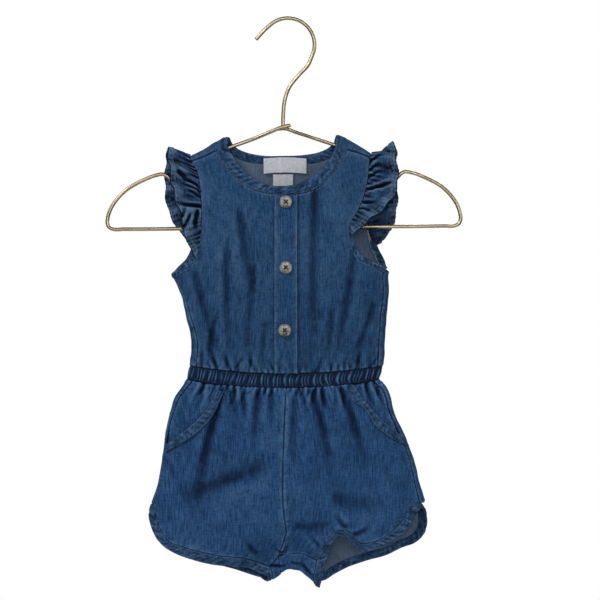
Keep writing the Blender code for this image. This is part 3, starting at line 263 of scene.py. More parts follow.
WAIST_SIDE_Z, WAIST_FRONT_DIP, WAIST_BACK_DIP = -352.5, 7.5, 3.5
CENTRE_X = -3
FRONT_CENTRE = [(-2, -371), (-4, -416), (-4, -490), (-1.5, -510)]
FRONT_CROTCH = [(-1.5, -510), (-5, -522), (-8, -529), (-9.5, -535)]
BACK_CENTRE = [(-3, -366), (-3, -430), (-3.5, -500), (-4, -543)]
CENTRE_UNDER = [(-4, 0), (-5, 45), (-6, 90), (-7, 135)]
CENTRE_FORWARD = [(-8.2, -546), (-9, -541), (-9.5, -535)]
LEFT_INSEAM = [(-9.5, -535), (-13, -540), (-18, -546)]
LEFT_UNDER = [(-23, 0), (-19.5, 45), (-17, 90), (-16, 135)]
LEFT_FORWARD = [(-16, -552), (-16.7, -549.5), (-18, -546)]
RIGHT_INSEAM = [(-9.5, -535), (2, -533), (10, -532), (22, -536), (29, -539)]
RIGHT_UNDER = [(27.5, 0), (26.5, 45), (25.8, 90), (25.5, 135)]
RIGHT_FORWARD = [(26, -556), (27.3, -548), (29, -539)]
POCKET_LEFT = [(-121, -424), (-109.3, -415), (-90.2, -399), (-80.6, -387.4), (-71, -369)]
POCKET_LEFT_LOWER = [(-121, -431), (-109.3, -424), (-96, -416), (-80.6, -401.8), (-71, -387.4), (-63.4, -372)]
POCKET_RIGHT = [(112.8, -416), (102.4, -407.5), (88, -394), (78.5, -382.6), (65.6, -366)]
POCKET_RIGHT_LOWER = [(119, -425.7), (97.7, -414), (85, -402.7), (76.6, -389), (63, -378), (58.4, -369)]
POCKET_LOW = {"left": -424, "right": -416}
HEM_TOP = {"left": -484, "right": -482}

HEM_FRONT_LEFT = [(-134, -484), (-130.5, -490), (-130, -500), (-125, -510), (-119, -519), (-103, -525),
                  (-88, -529), (-68, -533), (-43, -536), (-28, -542), (-18, -546)]
EDGE_FRONT_LEFT = [(-138, -484), (-139, -490), (-138, -500), (-133, -513), (-125, -523), (-113, -530.5),
                   (-98, -536), (-78, -541), (-58, -543.5), (-40, -546), (-30, -551), (-20, -556)]
HEM_BACK_LEFT = [(-134, -484), (-131, -490), (-129.5, -500), (-125, -510), (-118, -519), (-104, -527), (-86, -535),
                 (-72, -538.5), (-56, -543.5), (-32, -549), (-23, -554.6)]
EDGE_BACK_LEFT = [(-138, -484), (-138.5, -490), (-138, -500), (-133, -515), (-126, -522), (-109, -534.5),
                  (-89, -543), (-74, -547), (-58, -551.5), (-38, -555.5), (-29, -558)]
EDGE_UNDER_LEFT = [(-29, 0), (-25, 45), (-22, 90), (-21, 135)]
EDGE_FORWARD_LEFT = [(-20.5, -558), (-20, -557), (-20, -556)]
HEM_FRONT_RIGHT = [(129, -480), (122, -483), (117, -494), (109, -504), (102, -510), (92, -517), (82, -520),
                   (72, -521), (62, -510), (52, -506), (43, -508), (36.8, -517), (33, -528), (29, -539)]
EDGE_FRONT_RIGHT = [(133, -486), (128, -491), (124, -500), (117, -509), (107, -516), (97, -522), (87, -526),
                    (76, -529), (67, -524), (57, -515), (50, -513.5), (44.5, -519), (41, -530), (37, -541)]
HEM_BACK_RIGHT = [(129, -480), (131, -490), (132, -500), (130, -510), (123, -517.5), (112, -522.5), (97, -530),
                  (77, -536), (57, -543), (43, -549), (34, -555), (27.5, -558)]
EDGE_BACK_RIGHT = [(135, -485), (138.5, -491), (140, -500), (137.5, -514), (129, -524), (115, -530), (99, -538),
                   (80, -543.5), (60, -550.5), (45, -556.5), (37, -561), (32.5, -562)]
EDGE_UNDER_RIGHT = [(32.5, 0), (32, 45), (31.8, 90), (31.8, 135)]
EDGE_FORWARD_RIGHT = [(33, -561.5), (35.5, -553), (37, -541)]

PLACKET_LEFT, PLACKET_RIGHT, PLACKET_TOP, PLACKET_BOTTOM = -14, 10, -176.5, -352.8
PLACKET_THICKNESS, PLACKET_LIFT, PLACKET_STIFFNESS = 1.7, 0.7, 0.75
BUTTONS = "button_top", "button_middle", "button_bottom"

Wrap = namedtuple("Wrap", "z left right")
SIDE_WRAP = [Wrap(-240, 2, 5), Wrap(-262, 3, 6), Wrap(-345, 7, 6), Wrap(-400, 3, 4), Wrap(-484, 2.5, 6)]
side_wrap = {"left": column(SIDE_WRAP, "z", "left"), "right": column(SIDE_WRAP, "z", "right")}


# Stretches of seam, as rows of (angle, height)

ANGLE_REACH = 100.0  # millimetres of girth to a radian, for even spacing along a seam


def flat(points, segments=None):
    x, z = curve_through(points, segments).T
    return np.stack([angle_at(x, z), z], 1)


def folded(points, segments=None):
    """A stretch on the front, as the back cloth that wraps round a fold to it."""
    x, z = curve_through(points, segments).T
    over = 2 * (shoulder_top(x) - SHOULDER_RADIUS) + np.pi * SHOULDER_RADIUS - z
    under = 2 * (crotch_bottom(x) + CROTCH_RADIUS) - np.pi * CROTCH_RADIUS - z
    middle = (shoulder_top(x) + crotch_bottom(x)) / 2
    return np.stack([angle_at(x, z), np.where(z > middle, over, under)], 1)


def turned(points, segments=None, under=False):
    """A stretch on the shoulder or crotch fold, from points of (x, degrees)."""
    x, degrees = curve_through(points, segments).T
    base = crotch_bottom(x) + CROTCH_RADIUS if under else shoulder_top(x) - SHOULDER_RADIUS
    height = base + (-CROTCH_RADIUS if under else SHOULDER_RADIUS) * np.radians(degrees)
    return np.stack([angle_at(x, height), height], 1)


def seam(segments, *stretches):
    """One edge of a panel: stretches end to end, evenly spaced."""
    scaled = np.concatenate([np.atleast_2d(stretch) for stretch in stretches]) * (ANGLE_REACH, 1)
    return resampled(scaled, segments) / (ANGLE_REACH, 1)


def waist_z(angle, way):
    """The height of the waistband's middle, or with way 1 or -1 of the cloth's edge above or below it."""
    dip = np.where(np.cos(angle) > 0, WAIST_FRONT_DIP, WAIST_BACK_DIP)
    return WAIST_SIDE_Z - dip * np.cos(angle) ** 2 + way * WAISTBAND_HEIGHT / 2


def waist_edge(side, angle_from, angle_to, segments, way):
    angle = np.linspace(angle_from, angle_to, segments + 1)
    return np.stack([angle, waist_z(angle if side == FRONT else np.pi - angle, way)], 1)


def side_seam(side, hand, z_from, z_to):
    """A side seam. On the back it is past the side, because the back wraps forward."""
    z = np.linspace(z_from, z_to, 60)
    angle = np.arcsin(1 - side_wrap[hand](z) / half_width(z))
    angle = angle if side == FRONT else np.pi - angle
    return np.stack([-angle if hand == "left" else angle, z], 1)


RELAX_STEPS = 400


def patch(bottom, top, left, right):
    """The grid of (angle, height) between four edges, relaxed to even out its cells."""
    u = np.linspace(0, 1, len(bottom))[None, :, None]
    v = np.linspace(0, 1, len(left))[:, None, None]
    left, right = left.copy(), right.copy()
    left[0], left[-1], right[0], right[-1] = bottom[0], top[0], bottom[-1], top[-1]
    ruled = (1 - v) * bottom[None] + v * top[None] + (1 - u) * left[:, None] + u * right[:, None]
    corners = (1 - v) * ((1 - u) * bottom[0] + u * bottom[-1]) + v * ((1 - u) * top[0] + u * top[-1])
    grid = ruled - corners
    for _ in range(RELAX_STEPS):
        grid[1:-1, 1:-1] = (grid[:-2, 1:-1] + grid[2:, 1:-1] + grid[1:-1, :-2] + grid[1:-1, 2:]) / 4
    return grid


Hem = namedtuple("Hem", "x y z")
RUFFLE_HEM_LEFT = [Hem(*row) for row in [
    (-91.5, -17, -241), (-96, -19, -229), (-103, -22, -218), (-104, -25, -204), (-108, -25, -190), (-113, -23, -176),
    (-116, -20, -161), (-118, -15, -146), (-120, -7, -133), (-121, 2, -128.5), (-122.5, 10, -134), (-124, 15, -149),
    (-124.5, 17, -166), (-123.5, 18, -180), (-121, 18, -190), (-117, 19, -200), (-111, 19, -210), (-103, 18, -219),
    (-97, 16, -227),
]]
RUFFLE_HEM_RIGHT = [Hem(*row) for row in [
    (64, -20, -217), (72, -23, -209), (83, -26, -200), (93, -26, -192), (103, -24, -182), (108, -22, -170),
    (110, -20, -158), (108, -17, -145), (107, -11, -132), (107, -3, -124), (108, 5, -125), (109, 11, -136),
    (109.5, 14, -150), (110, 16, -166), (111, 18, -181), (109, 19, -195), (106, 19, -207), (99, 18, -217),
    (90, 16, -225),
]]
Ruffle = namedtuple("Ruffle", "away seam_front shoulder seam_back hem")
RUFFLES = {
    "left": Ruffle(-1, ARMHOLE_FRONT_LEFT[3:], ARMHOLE_TOP_LEFT[::-1], ARMHOLE_BACK_LEFT[4:], RUFFLE_HEM_LEFT),
    "right": Ruffle(1, ARMHOLE_FRONT_RIGHT[5:], ARMHOLE_TOP_RIGHT[::-1], ARMHOLE_BACK_RIGHT[2:], RUFFLE_HEM_RIGHT),
}


# Finishes


THREAD_PITCH = 0.00042
YARN_WAVES = 900.0


class Tree:
    """A node tree with short ways to add nodes and links."""

    def __init__(self, tree):
        self.tree = tree

    def node(self, kind, inputs=None, **settings):
        made = self.tree.nodes.new(kind)
        for key, value in settings.items():
            setattr(made, key, value)
        for key, value in (inputs or {}).items():
            self.feed(made.inputs[key], value)
        return made

    def feed(self, socket, value):
        if isinstance(value, bpy.types.NodeSocket):
            self.tree.links.new(value, socket)
        else:
            socket.default_value = value

    def math(self, operation, *values, clamp=False):
        made = self.node("ShaderNodeMath", operation=operation, use_clamp=clamp)
        for socket, value in zip(made.inputs, values):
            self.feed(socket, value)
        return made.outputs[0]

    def mix(self, share, first, second):
        made = self.node("ShaderNodeMix", data_type="RGBA")
        for key, value in (("Factor_Float", share), ("A_Color", first), ("B_Color", second)):
            value = (*value, 1) if isinstance(value, tuple) else value
            self.feed(next(s for s in made.inputs if s.identifier == key), value)
        return next(s for s in made.outputs if s.identifier == "Result_Color")

    def ramp(self, value, stops):
        made = self.node("ShaderNodeValToRGB", {"Fac": value})
        ends = made.color_ramp.elements
        while len(ends) < len(stops):
            ends.new(0.5)
        for element, (at, shade) in zip(ends, stops):
            element.position, element.color = at, (shade, shade, shade, 1)
        return made.outputs["Color"]

    def noise(self, where, lumps_a_metre, detail=3.0, roughness=0.6):
        moved = self.node("ShaderNodeVectorMath", {0: where, 1: lumps_a_metre}, operation="MULTIPLY").outputs[0]
        settings = {"Vector": moved, "Scale": 1.0, "Detail": detail, "Roughness": roughness}
        return self.node("ShaderNodeTexNoise", settings).outputs["Fac"]

    def waves(self, where, distortion, direction):
        settings = {"Vector": where, "Scale": YARN_WAVES, "Distortion": distortion}
        return self.node("ShaderNodeTexWave", settings, bands_direction=direction).outputs["Fac"]

    def scaled(self, value, factor, base=0.0, clamp=False):
        """The value less its base, times a factor."""
        value = self.math("SUBTRACT", value, base) if base else value
        return self.math("MULTIPLY", value, factor, clamp=clamp)

    def total(self, *values, clamp=False):
        made = values[0]
        for k, value in enumerate(values[1:], 2):
            made = self.math("ADD", made, value, clamp=clamp and k == len(values))
        return made

    def attribute(self, name):
        return self.node("ShaderNodeAttribute", attribute_name=name).outputs["Fac"]

    def bump(self, shader, height, strength, distance):
        made = self.node("ShaderNodeBump", {"Height": height, "Strength": strength, "Distance": distance})
        self.feed(shader.inputs["Normal"], made.outputs["Normal"])


def group(name, inputs, outputs):
    """An empty node group with named sockets, as (group, Tree, its input node, its output node)."""
    made = bpy.data.node_groups.new(name, "ShaderNodeTree")
    for key, kind, value in inputs:
        socket = made.interface.new_socket(key, in_out="INPUT", socket_type=kind)
        if value is not None:
            socket.default_value = value
    for key, kind in outputs:
        made.interface.new_socket(key, in_out="OUTPUT", socket_type=kind)
    tree = Tree(made)
    return made, tree, tree.node("NodeGroupInput"), tree.node("NodeGroupOutput")


FLOAT, VECTOR = "NodeSocketFloat", "NodeSocketVector"


def weave_group():
    """Plain weave: dark warp down the cloth, pale weft across, with slubs and a thread relief."""
    made, t, given, out = group(
        "plain_weave",
        [("Where", VECTOR, None), ("Thread Pitch", FLOAT, THREAD_PITCH), ("Slub", FLOAT, 1.0)],
        [("Weft Share", FLOAT), ("Height", FLOAT)],
    )
    where = given.outputs["Where"]
    parts = t.node("ShaderNodeSeparateXYZ", {"Vector": where}).outputs
    turn = t.math("DIVIDE", math.pi, given.outputs["Thread Pitch"])
    warp, weft = (t.math("SINE", t.math("MULTIPLY", part, turn)) for part in parts[:2])
    over = t.math("GREATER_THAN", t.math("MULTIPLY", warp, weft), 0.0)
    long_slub = t.noise(where, (900, 70, 1))
    cross_slub = t.noise(where, (110, 1100, 1), 2.0)
    slub = t.total(t.scaled(long_slub, 1.5, 0.5), t.scaled(cross_slub, 0.6, 0.5))
    share = t.total(t.scaled(over, 0.16), t.scaled(slub, given.outputs["Slub"]), 0.42, clamp=True)
    relief_height = t.total(t.math("ABSOLUTE", t.math("MULTIPLY", warp, weft)), t.scaled(slub, 0.5))
    t.feed(out.inputs["Weft Share"], share)
    t.feed(out.inputs["Height"], relief_height)
    return made


def shade_and_wash_group():
    """Fading from washing, with painted light: seams and ridges paler in patches (wear with painted highlight), painted
    shade in valleys and along seam lines.
    """
    made, t, given, out = group(
        "wash_and_painted_shade",
        [("Where", VECTOR, None), ("Edge", FLOAT, 60.0), ("Relief", FLOAT, 0.0), ("Rope Width", FLOAT, 6.0)],
        [("Fade And Highlight", FLOAT), ("Shadow And Mottle", FLOAT)],
    )
    where, edge, rise = (given.outputs[key] for key in ("Where", "Edge", "Relief"))
    patchy = t.noise(where, (150, 150, 150))
    fine = t.noise(where, (520, 330, 400), 3.0, 0.65)
    broad = t.noise(where, (24, 14, 20), 2.0, 0.5)
    # A pale line in patches just inside each seam: roping from washing, partly a painted highlight
    rope_and_highlight = t.ramp(t.math("DIVIDE", edge, given.outputs["Rope Width"]),
                  [(0.0, 0.0), (0.15, 0.1), (0.25, 1.0), (0.36, 0.3), (1.0, 0.0)])
    rope_and_highlight = t.scaled(rope_and_highlight, t.total(t.scaled(t.ramp(patchy, [(0.36, 0.0), (0.60, 1.0)]), 0.7), 0.3))
    # Painted highlight on ridges, partly rubbed wear: paler in patches where the relief rises
    ridge = t.scaled(t.scaled(rise, 0.5, clamp=True), t.total(patchy, 0.3))
    pale = t.total(t.scaled(rope_and_highlight, 1.25), ridge, t.scaled(broad, 0.5, 0.5), t.scaled(fine, 1.3, 0.5))
    # Painted shadow along seam lines: darker within about a millimetre of a sewn edge
    line = t.ramp(t.math("DIVIDE", edge, 0.9), [(0.0, 1.0), (0.5, 0.6), (1.0, 0.0)])
    # Painted shade in creases and fold troughs, and the painted seam shadow, plus random patches below
    shadow_and_mottle = t.math("MAXIMUM", t.scaled(rise, -0.45, clamp=True), t.scaled(line, 0.85))
    shadow_and_mottle = t.total(shadow_and_mottle, t.scaled(patchy, -0.9, 0.5), clamp=True)
    t.feed(out.inputs["Fade And Highlight"], pale)
    t.feed(out.inputs["Shadow And Mottle"], shadow_and_mottle)
    return made


plain_weave, wash_and_painted_shade = weave_group(), shade_and_wash_group()


def material(name, **constants):
    """A new material, its Tree and its shader, with constants on the shader's own sockets."""
    made = bpy.data.materials.new(name)
    made.use_nodes = True
    shader = made.node_tree.nodes["Principled BSDF"]
    for key, value in constants.items():
        shader.inputs[key.replace("_", " ")].default_value = value
    return made, Tree(made.node_tree), shader


def placed(tree, made, **inputs):
    """A node group set in a tree with these inputs, as its outputs."""
    found = tree.node("ShaderNodeGroup", node_tree=made)
    for key, value in inputs.items():
        tree.feed(found.inputs[key.replace("_", " ")], value)
    return found.outputs


def cloth_finish(name, warp, weft, deep, faded, slub=1.0, turn=0.0, fade_and_shade=(0.8, 0.85), rope_width=6.0):
    """Chambray of two yarn colours, woven and faded from washing, then mixed by two shares: towards faded (fading and
    painted highlight) and towards deep (painted shade, painted seam shadow and random patches).
    """
    made, t, shader = material(name, Sheen_Weight=0.04, Sheen_Roughness=0.5, Sheen_Tint=(0.45, 0.60, 0.90, 1),
                               Specular_IOR_Level=0.12)
    uv = t.node("ShaderNodeUVMap", uv_map="cloth").outputs["UV"]
    where = t.node("ShaderNodeMapping", {"Vector": uv, "Rotation": (0, 0, math.radians(turn))}).outputs["Vector"]
    weave = placed(t, plain_weave, Where=where, Slub=slub)
    washed_and_shaded = placed(t, wash_and_painted_shade, Where=where, Edge=t.attribute("edge"), Relief=t.attribute("relief"),
                    Rope_Width=rope_width)
    yarn = t.mix(weave["Weft Share"], warp, weft)
    # Painted highlight with fading: towards faded on ridges, beside seams and in patches
    yarn = t.mix(t.scaled(washed_and_shaded["Fade And Highlight"], fade_and_shade[0], clamp=True), yarn, faded)
    # Painted shade: towards deep in creases, fold troughs and along seam lines, and in random patches
    t.feed(shader.inputs["Base Color"], t.mix(t.scaled(washed_and_shaded["Shadow And Mottle"], fade_and_shade[1], clamp=True), yarn, deep))
    t.feed(shader.inputs["Roughness"], t.total(t.scaled(weave["Weft Share"], 0.1), 0.82))
    t.bump(shader, weave["Height"], 0.35, 0.00018)
    return made


chambray = cloth_finish("indigo_chambray", (0.0046, 0.025, 0.078), (0.031, 0.094, 0.215), (0.0010, 0.005, 0.021),
                        (0.080, 0.168, 0.310), slub=2.0)
chambray_shorts = cloth_finish("bright_indigo_chambray", (0.0046, 0.026, 0.088), (0.031, 0.100, 0.245),
                               (0.0010, 0.005, 0.022), (0.080, 0.178, 0.340), slub=2.1)
# The ruffles' chambray, with bigger shares of fading with painted highlight, and of painted shade
chambray_ruffled = cloth_finish("gathered_chambray", (0.0050, 0.025, 0.076), (0.036, 0.096, 0.205),
                                (0.0012, 0.005, 0.018), (0.105, 0.185, 0.310), slub=1.9, fade_and_shade=(1.15, 1.2))
chambray_inside = cloth_finish("chambray_wrong_side", (0.053, 0.097, 0.168), (0.146, 0.196, 0.280),
                               (0.012, 0.022, 0.045), (0.17, 0.22, 0.30), fade_and_shade=(0.5, 0.5))
binding_cloth = cloth_finish("bias_chambray", (0.0052, 0.026, 0.076), (0.035, 0.096, 0.208), (0.0012, 0.005, 0.020),
                             (0.100, 0.190, 0.335), slub=1.1, turn=45, fade_and_shade=(0.9, 0.9), rope_width=3.0)


def thread_finish(name, colour, pale):
    made, t, shader = material(name, Roughness=0.7, Sheen_Weight=0.2)
    twist = t.waves(t.node("ShaderNodeTexCoord").outputs["Object"], 1.0, "DIAGONAL")
    t.feed(shader.inputs["Base Color"], t.mix(t.scaled(twist, 0.6), colour, pale))
    t.bump(shader, twist, 0.4, 0.0001)
    return made


seam_thread = thread_finish("blue_seam_thread", (0.050, 0.095, 0.170), (0.110, 0.170, 0.260))
navy_thread = thread_finish("navy_button_thread", (0.004, 0.006, 0.014), (0.012, 0.016, 0.030))
pale_thread = thread_finish("pale_overlock_thread", (0.20, 0.25, 0.32), (0.42, 0.47, 0.54))
white_thread = thread_finish("white_label_thread", (0.70, 0.70, 0.70), (0.85, 0.85, 0.85))


def ribbon_finish():
    made, t, shader = material("white_satin_ribbon", Roughness=0.55, Sheen_Weight=0.3)
    where = t.node("ShaderNodeUVMap", uv_map="cloth").outputs["UV"]
    ribs = t.waves(where, 0.4, "Y")
    mottle = t.noise(where, (300, 300, 300))
    white = t.mix(t.ramp(mottle, [(0.3, 0.0), (0.7, 1.0)]), (0.50, 0.52, 0.58), (0.68, 0.70, 0.75))
    # Painted highlight along the label's crease: paler where its relief rises
    crease_highlight = t.scaled(t.attribute("relief"), 0.5, clamp=True)
    t.feed(shader.inputs["Base Color"], t.mix(crease_highlight, white, (0.78, 0.78, 0.74)))
    t.bump(shader, ribs, 0.2, 0.0001)
    return made


def horn_finish():
    """Cream horn, clouded brown towards the button's lower edge."""
    made, t, shader = material("imitation_horn", Coat_Weight=0.3)
    where = t.node("ShaderNodeTexCoord").outputs["Object"]
    cloud = t.noise(where, (260, 260, 120), 4.0)
    streak = t.noise(where, (600, 200, 160), 3.0, 0.5)
    cream = t.mix(t.ramp(streak, [(0.35, 0.0), (0.65, 1.0)]), (0.11, 0.108, 0.084), (0.29, 0.29, 0.245))
    brown = t.ramp(t.total(cloud, t.scaled(t.attribute("low"), 0.24)), [(0.54, 0.0), (0.72, 1.0)])
    t.feed(shader.inputs["Base Color"], t.mix(brown, cream, (0.045, 0.030, 0.016)))
    t.feed(shader.inputs["Roughness"], t.total(t.scaled(streak, 0.12), 0.3))
    t.bump(shader, cloud, 0.1, 0.0003)
    return made


def brass_finish():
    made, t, shader = material("satin_brass_plate", Metallic=1.0)
    tarnish = t.noise(t.node("ShaderNodeTexCoord").outputs["Object"], (60, 60, 60), 4.0)
    plate = t.mix(t.ramp(tarnish, [(0.35, 0.0), (0.70, 1.0)]), (0.50, 0.42, 0.27), (0.36, 0.29, 0.17))
    t.feed(shader.inputs["Base Color"], plate)
    t.feed(shader.inputs["Roughness"], t.total(t.scaled(tarnish, 0.08), 0.30))
    return made


ribbon_white, horn, brass = ribbon_finish(), horn_finish(), brass_finish()


# The cloth's own relief: creases, gathers and puckers, in millimetres out of its skin

Crease = namedtuple("Crease", "side x z x_end z_end width depth")
FINE_CREASES = [Crease(FRONT, *row) for row in [
    (-84, -366, -98, -386, 1.6, 2.0), (-76, -365, -84, -376, 1.2, 1.3), (-51, -368, -61, -390, 1.8, 1.9),
    (-57, -367, -59, -379, 1.3, 1.2), (-21, -368, -23, -378, 1.2, 1.3), (-15, -367, -14, -377, 1.2, 1.2),
    (-49, -347, -44, -334, 1.5, 1.5), (-36, -348, -38, -330, 1.4, 1.4), (-60, -348, -66, -330, 1.5, 1.3),
    (-72, -346, -80, -334, 1.5, 1.4), (-16, -545, 3, -543, 1.6, 2.0), (-6, -531, -16, -522, 1.4, 1.6),
    (-8, -533, 4, -520, 1.5, 1.8), (14, -546, 30, -560, 1.8, 2.0), (4, -541, 22, -543, 1.3, 1.5),
    (-30, -530, -44, -518, 2.2, 1.5), (30, -525, 20, -508, 1.8, 1.6), (58, -503, 44, -492, 2.4, 1.8),
    (66, -512, 84, -500, 2.4, 1.6),
]]
CREASE_DEPTH = 1.25
TABLE_SIZE = 64
lump_table = np.random.default_rng(5).random((TABLE_SIZE, TABLE_SIZE))


def lumps(x, z, size_x, size_z, shift=0):
    """Soft uneven noise from -1 to 1, with lumps of one size across and another up."""
    u, v = np.asarray(x) / size_x + 17.3 * shift, np.asarray(z) / size_z + 5.9 * shift
    i, j = np.floor(u).astype(int), np.floor(v).astype(int)
    a, b = smooth(u - i), smooth(v - j)

    def corner(di, dj):
        return lump_table[(i + di) % TABLE_SIZE, (j + dj) % TABLE_SIZE]

    low = corner(0, 0) * (1 - a) + corner(1, 0) * a
    high = corner(0, 1) * (1 - a) + corner(1, 1) * a
    return 2 * (low * (1 - b) + high * b) - 1


def waist_creases():
    """Uneven gathers that fan out above and below the waistband."""
    draw = np.random.default_rng(11)
    found = []
    for side in (FRONT, BACK):
        for way, count, shortest, longest in ((1, 34, 5, 26), (-1, 42, 6, 34)):
            for k in range(count):
                x = -92 + 184 * (k + 0.5 + draw.uniform(-0.35, 0.35)) / count
                z = float(waist_z(angle_at(x, -352) if side == FRONT else np.pi, way)) + way * draw.uniform(0, 1.5)
                length = shortest + (longest - shortest) * draw.random() ** 2.2
                lean = (0.22 * x / 92 + draw.uniform(-0.28, 0.28)) * length
                width = draw.uniform(1.0, 1.5) + length / 40
                deep = draw.uniform(0.5, 1.0) + length / 28
                found.append(Crease(side, x, z, x + lean, z + way * length, width, deep))
    return found


CREASES = [
    *FINE_CREASES, *waist_creases(),
    *(Crease(f.side, f.x, f.z, f.x_end, f.z_end, f.width * 0.5, abs(f.depth) * 0.3) for f in FOLDS),
]


def creased(side, x, z, creases):
    """Narrow valleys with a raised ridge on each side."""
    out = np.zeros(x.shape)
    for crease in creases:
        along, across = along_fold(crease, x, z)
        near = (side == crease.side) & (along > -0.1) & (along < 1.1) & (abs(across) < 5 * crease.width)
        if not near.any():
            continue
        along, across = along[near], across[near] + crease.width * 0.8 * np.sin(3.1 * along[near] + crease.x)
        taper = smooth((along + 0.1) / 0.12) * (1 - smooth((along - 0.25) / 0.85))
        valley = -np.exp(-((across / crease.width) ** 2))
        ridge = 0.45 * np.exp(-(((abs(across) - 2.1 * crease.width) / (1.1 * crease.width)) ** 2))
        out[near] += CREASE_DEPTH * crease.depth * taper * (valley + ridge)
    return np.clip(out, -3.8, 2.4)


GATHER, GATHER_WAVE, GATHER_REACH = 0.75, 4.1, 4.5
DRAPE, SWELL, CRUMPLE, GRAIN = 0.55, 0.32, 0.22, 0.10


def relief(base):
    """The relief at points of the skin, without that of the seams."""
    x, z = base[..., 0], base[..., 2]
    here = np.where(base[..., 1] < 0, FRONT, BACK)
    round_way = np.where(here == FRONT, angle_at(x, z), np.pi - angle_at(x, z))
    near_band = np.minimum(abs(z - waist_z(round_way, 1)), abs(z - waist_z(round_way, -1)))
    girth = ANGLE_REACH * round_way
    gathers = GATHER * np.sin(2 * np.pi * girth / GATHER_WAVE + 2.2 * lumps(x, z, 9, 14, 3))
    gathers = gathers * np.exp(-near_band / GATHER_REACH)
    drape = DRAPE * lumps(x, z, 26, 60, 1) + SWELL * lumps(x + 0.4 * z, z, 13, 30, 2)
    crumple = CRUMPLE * (1 - 2 * abs(lumps(x - 0.5 * z, z, 9, 15, 4))) + GRAIN * lumps(x, z, 4, 6, 5)
    return creased(here, x, z, CREASES) + gathers + drape + crumple


# Making sheets of cloth

# A layer's relief holds the values that its finish paints as shade where low and as highlight where high
Layer = namedtuple("Layer", "outer inner uv edge relief")
laid, pieces = {}, {}


def layer(base, out, front, back, uv, edge, relief):
    """A grid of cloth, with its two faces at distances out from a base."""
    return Layer(base + out * front[..., None], base + out * back[..., None], np.stack(uv, -1), edge, relief)


def lengths(points, axis):
    """Distances along the rows or columns of a grid, from its start."""
    steps = np.linalg.norm(np.diff(points, axis=axis), axis=-1)
    start = np.zeros_like(np.take(steps, [0], axis=axis))
    return np.cumsum(np.concatenate([start, steps], axis=axis), axis=axis)


def edge_distances(points, from_top=False):
    """The distance of each point of a grid from its four edges, and how far along each edge it is."""
    along, up = lengths(points, 1), lengths(points, 0)
    beside = up[-1:] - up if from_top else up
    return {
        "left": (along, beside), "right": (along[:, -1:] - along, beside),
        "bottom": (up, along), "top": (up[-1:] - up, along),
    }


def meshed(name, bm):
    """The smooth-shaded mesh of a finished bmesh."""
    mesh = bpy.data.meshes.new(name)
    bm.to_mesh(mesh)
    bm.free()
    mesh.shade_smooth()
    return mesh


def in_scene(name, data):
    made = bpy.data.objects.new(name, data)
    bpy.context.scene.collection.objects.link(made)
    return made


def add_piece(name, mesh, replaced, slot, *finishes):
    for finish in finishes:
        mesh.materials.append(finish)
    made = in_scene(name, mesh)
    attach(made, "root")
    if replaced:
        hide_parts(*replaced)
    return made


def sheet(name, layers, slot, outside, inside=None):
    """A wall of cloth: an outer face, and an inner one in its own finish, joined round the rim."""
    bm = bmesh.new()
    number = bm.verts.layers.int.new("number")
    start = 0
    for grid in layers:
        rows, columns = grid.outer.shape[0] - 1, grid.outer.shape[1] - 1
        for vert in bmesh.ops.create_grid(bm, x_segments=columns, y_segments=rows, size=0.5)["verts"]:
            i, j = round((vert.co.y + 0.5) * rows), round((vert.co.x + 0.5) * columns)
            vert.co = grid.outer[i, j] * MM
            vert[number] = start + i * (columns + 1) + j
        start += (rows + 1) * (columns + 1)
    bmesh.ops.remove_doubles(bm, verts=bm.verts, dist=0.03 * MM)
    inner = np.concatenate([grid.inner.reshape(-1, 3) for grid in layers]) * MM
    lining = bmesh.ops.extrude_face_region(bm, geom=bm.faces[:], use_keep_orig=True)["geom"]
    for item in lining:
        if isinstance(item, bmesh.types.BMVert):
            item.co = inner[item[number]]
        elif isinstance(item, bmesh.types.BMFace):
            item.material_index = 1
    bmesh.ops.recalc_face_normals(bm, faces=bm.faces)
    if bm.calc_volume(signed=True) < 0:
        bmesh.ops.reverse_faces(bm, faces=bm.faces)
    mesh = meshed(name, bm)
    at = np.empty(len(mesh.vertices), np.int32)
    mesh.attributes["number"].data.foreach_get("value", at)
    mesh.attributes.remove(mesh.attributes["number"])
    corner = np.empty(len(mesh.loops), np.int32)
    mesh.loops.foreach_get("vertex_index", corner)
    uv = np.concatenate([grid.uv.reshape(-1, 2) for grid in layers]) * MM
    mesh.uv_layers.new(name="cloth").data.foreach_set("uv", uv[at[corner]].astype(np.float32).ravel())
    # 'relief' carries the painted shade and highlight values; 'edge' the distance from sewn edges
    for key in ("edge", "relief"):
        values = np.concatenate([np.ravel(getattr(grid, key)) for grid in layers])[at]
        mesh.attributes.new(key, "FLOAT", "POINT").data.foreach_set("value", values.astype(np.float32))
    laid[name] = layers
    made_of = "ribbon" if slot == "label_ribbon" else "cloth"
    pieces[name] = add_piece(f"{name}_{made_of}", mesh, (name,), slot, outside, inside or outside)


SEAM_SINK, SEAM_ROLL, SEAM_PUCKER, PUCKER_PITCH = 0.6, 0.9, 0.30, 4.6
FOLD_SHADE = 0.28  # how much of a fold's depth is painted as shade into the colour
FAR = 60.0


def seam_relief(away, along):
    """The dip and the puckers beside a sewn seam."""
    pucker = np.sin(2 * np.pi * along / PUCKER_PITCH + 5 * lumps(along, away, 12, 30, 6))
    return -SEAM_SINK * np.exp(-((away / SEAM_ROLL) ** 2)) + SEAM_PUCKER * pucker * np.exp(-(((away - 2.0) / 2.4) ** 2))


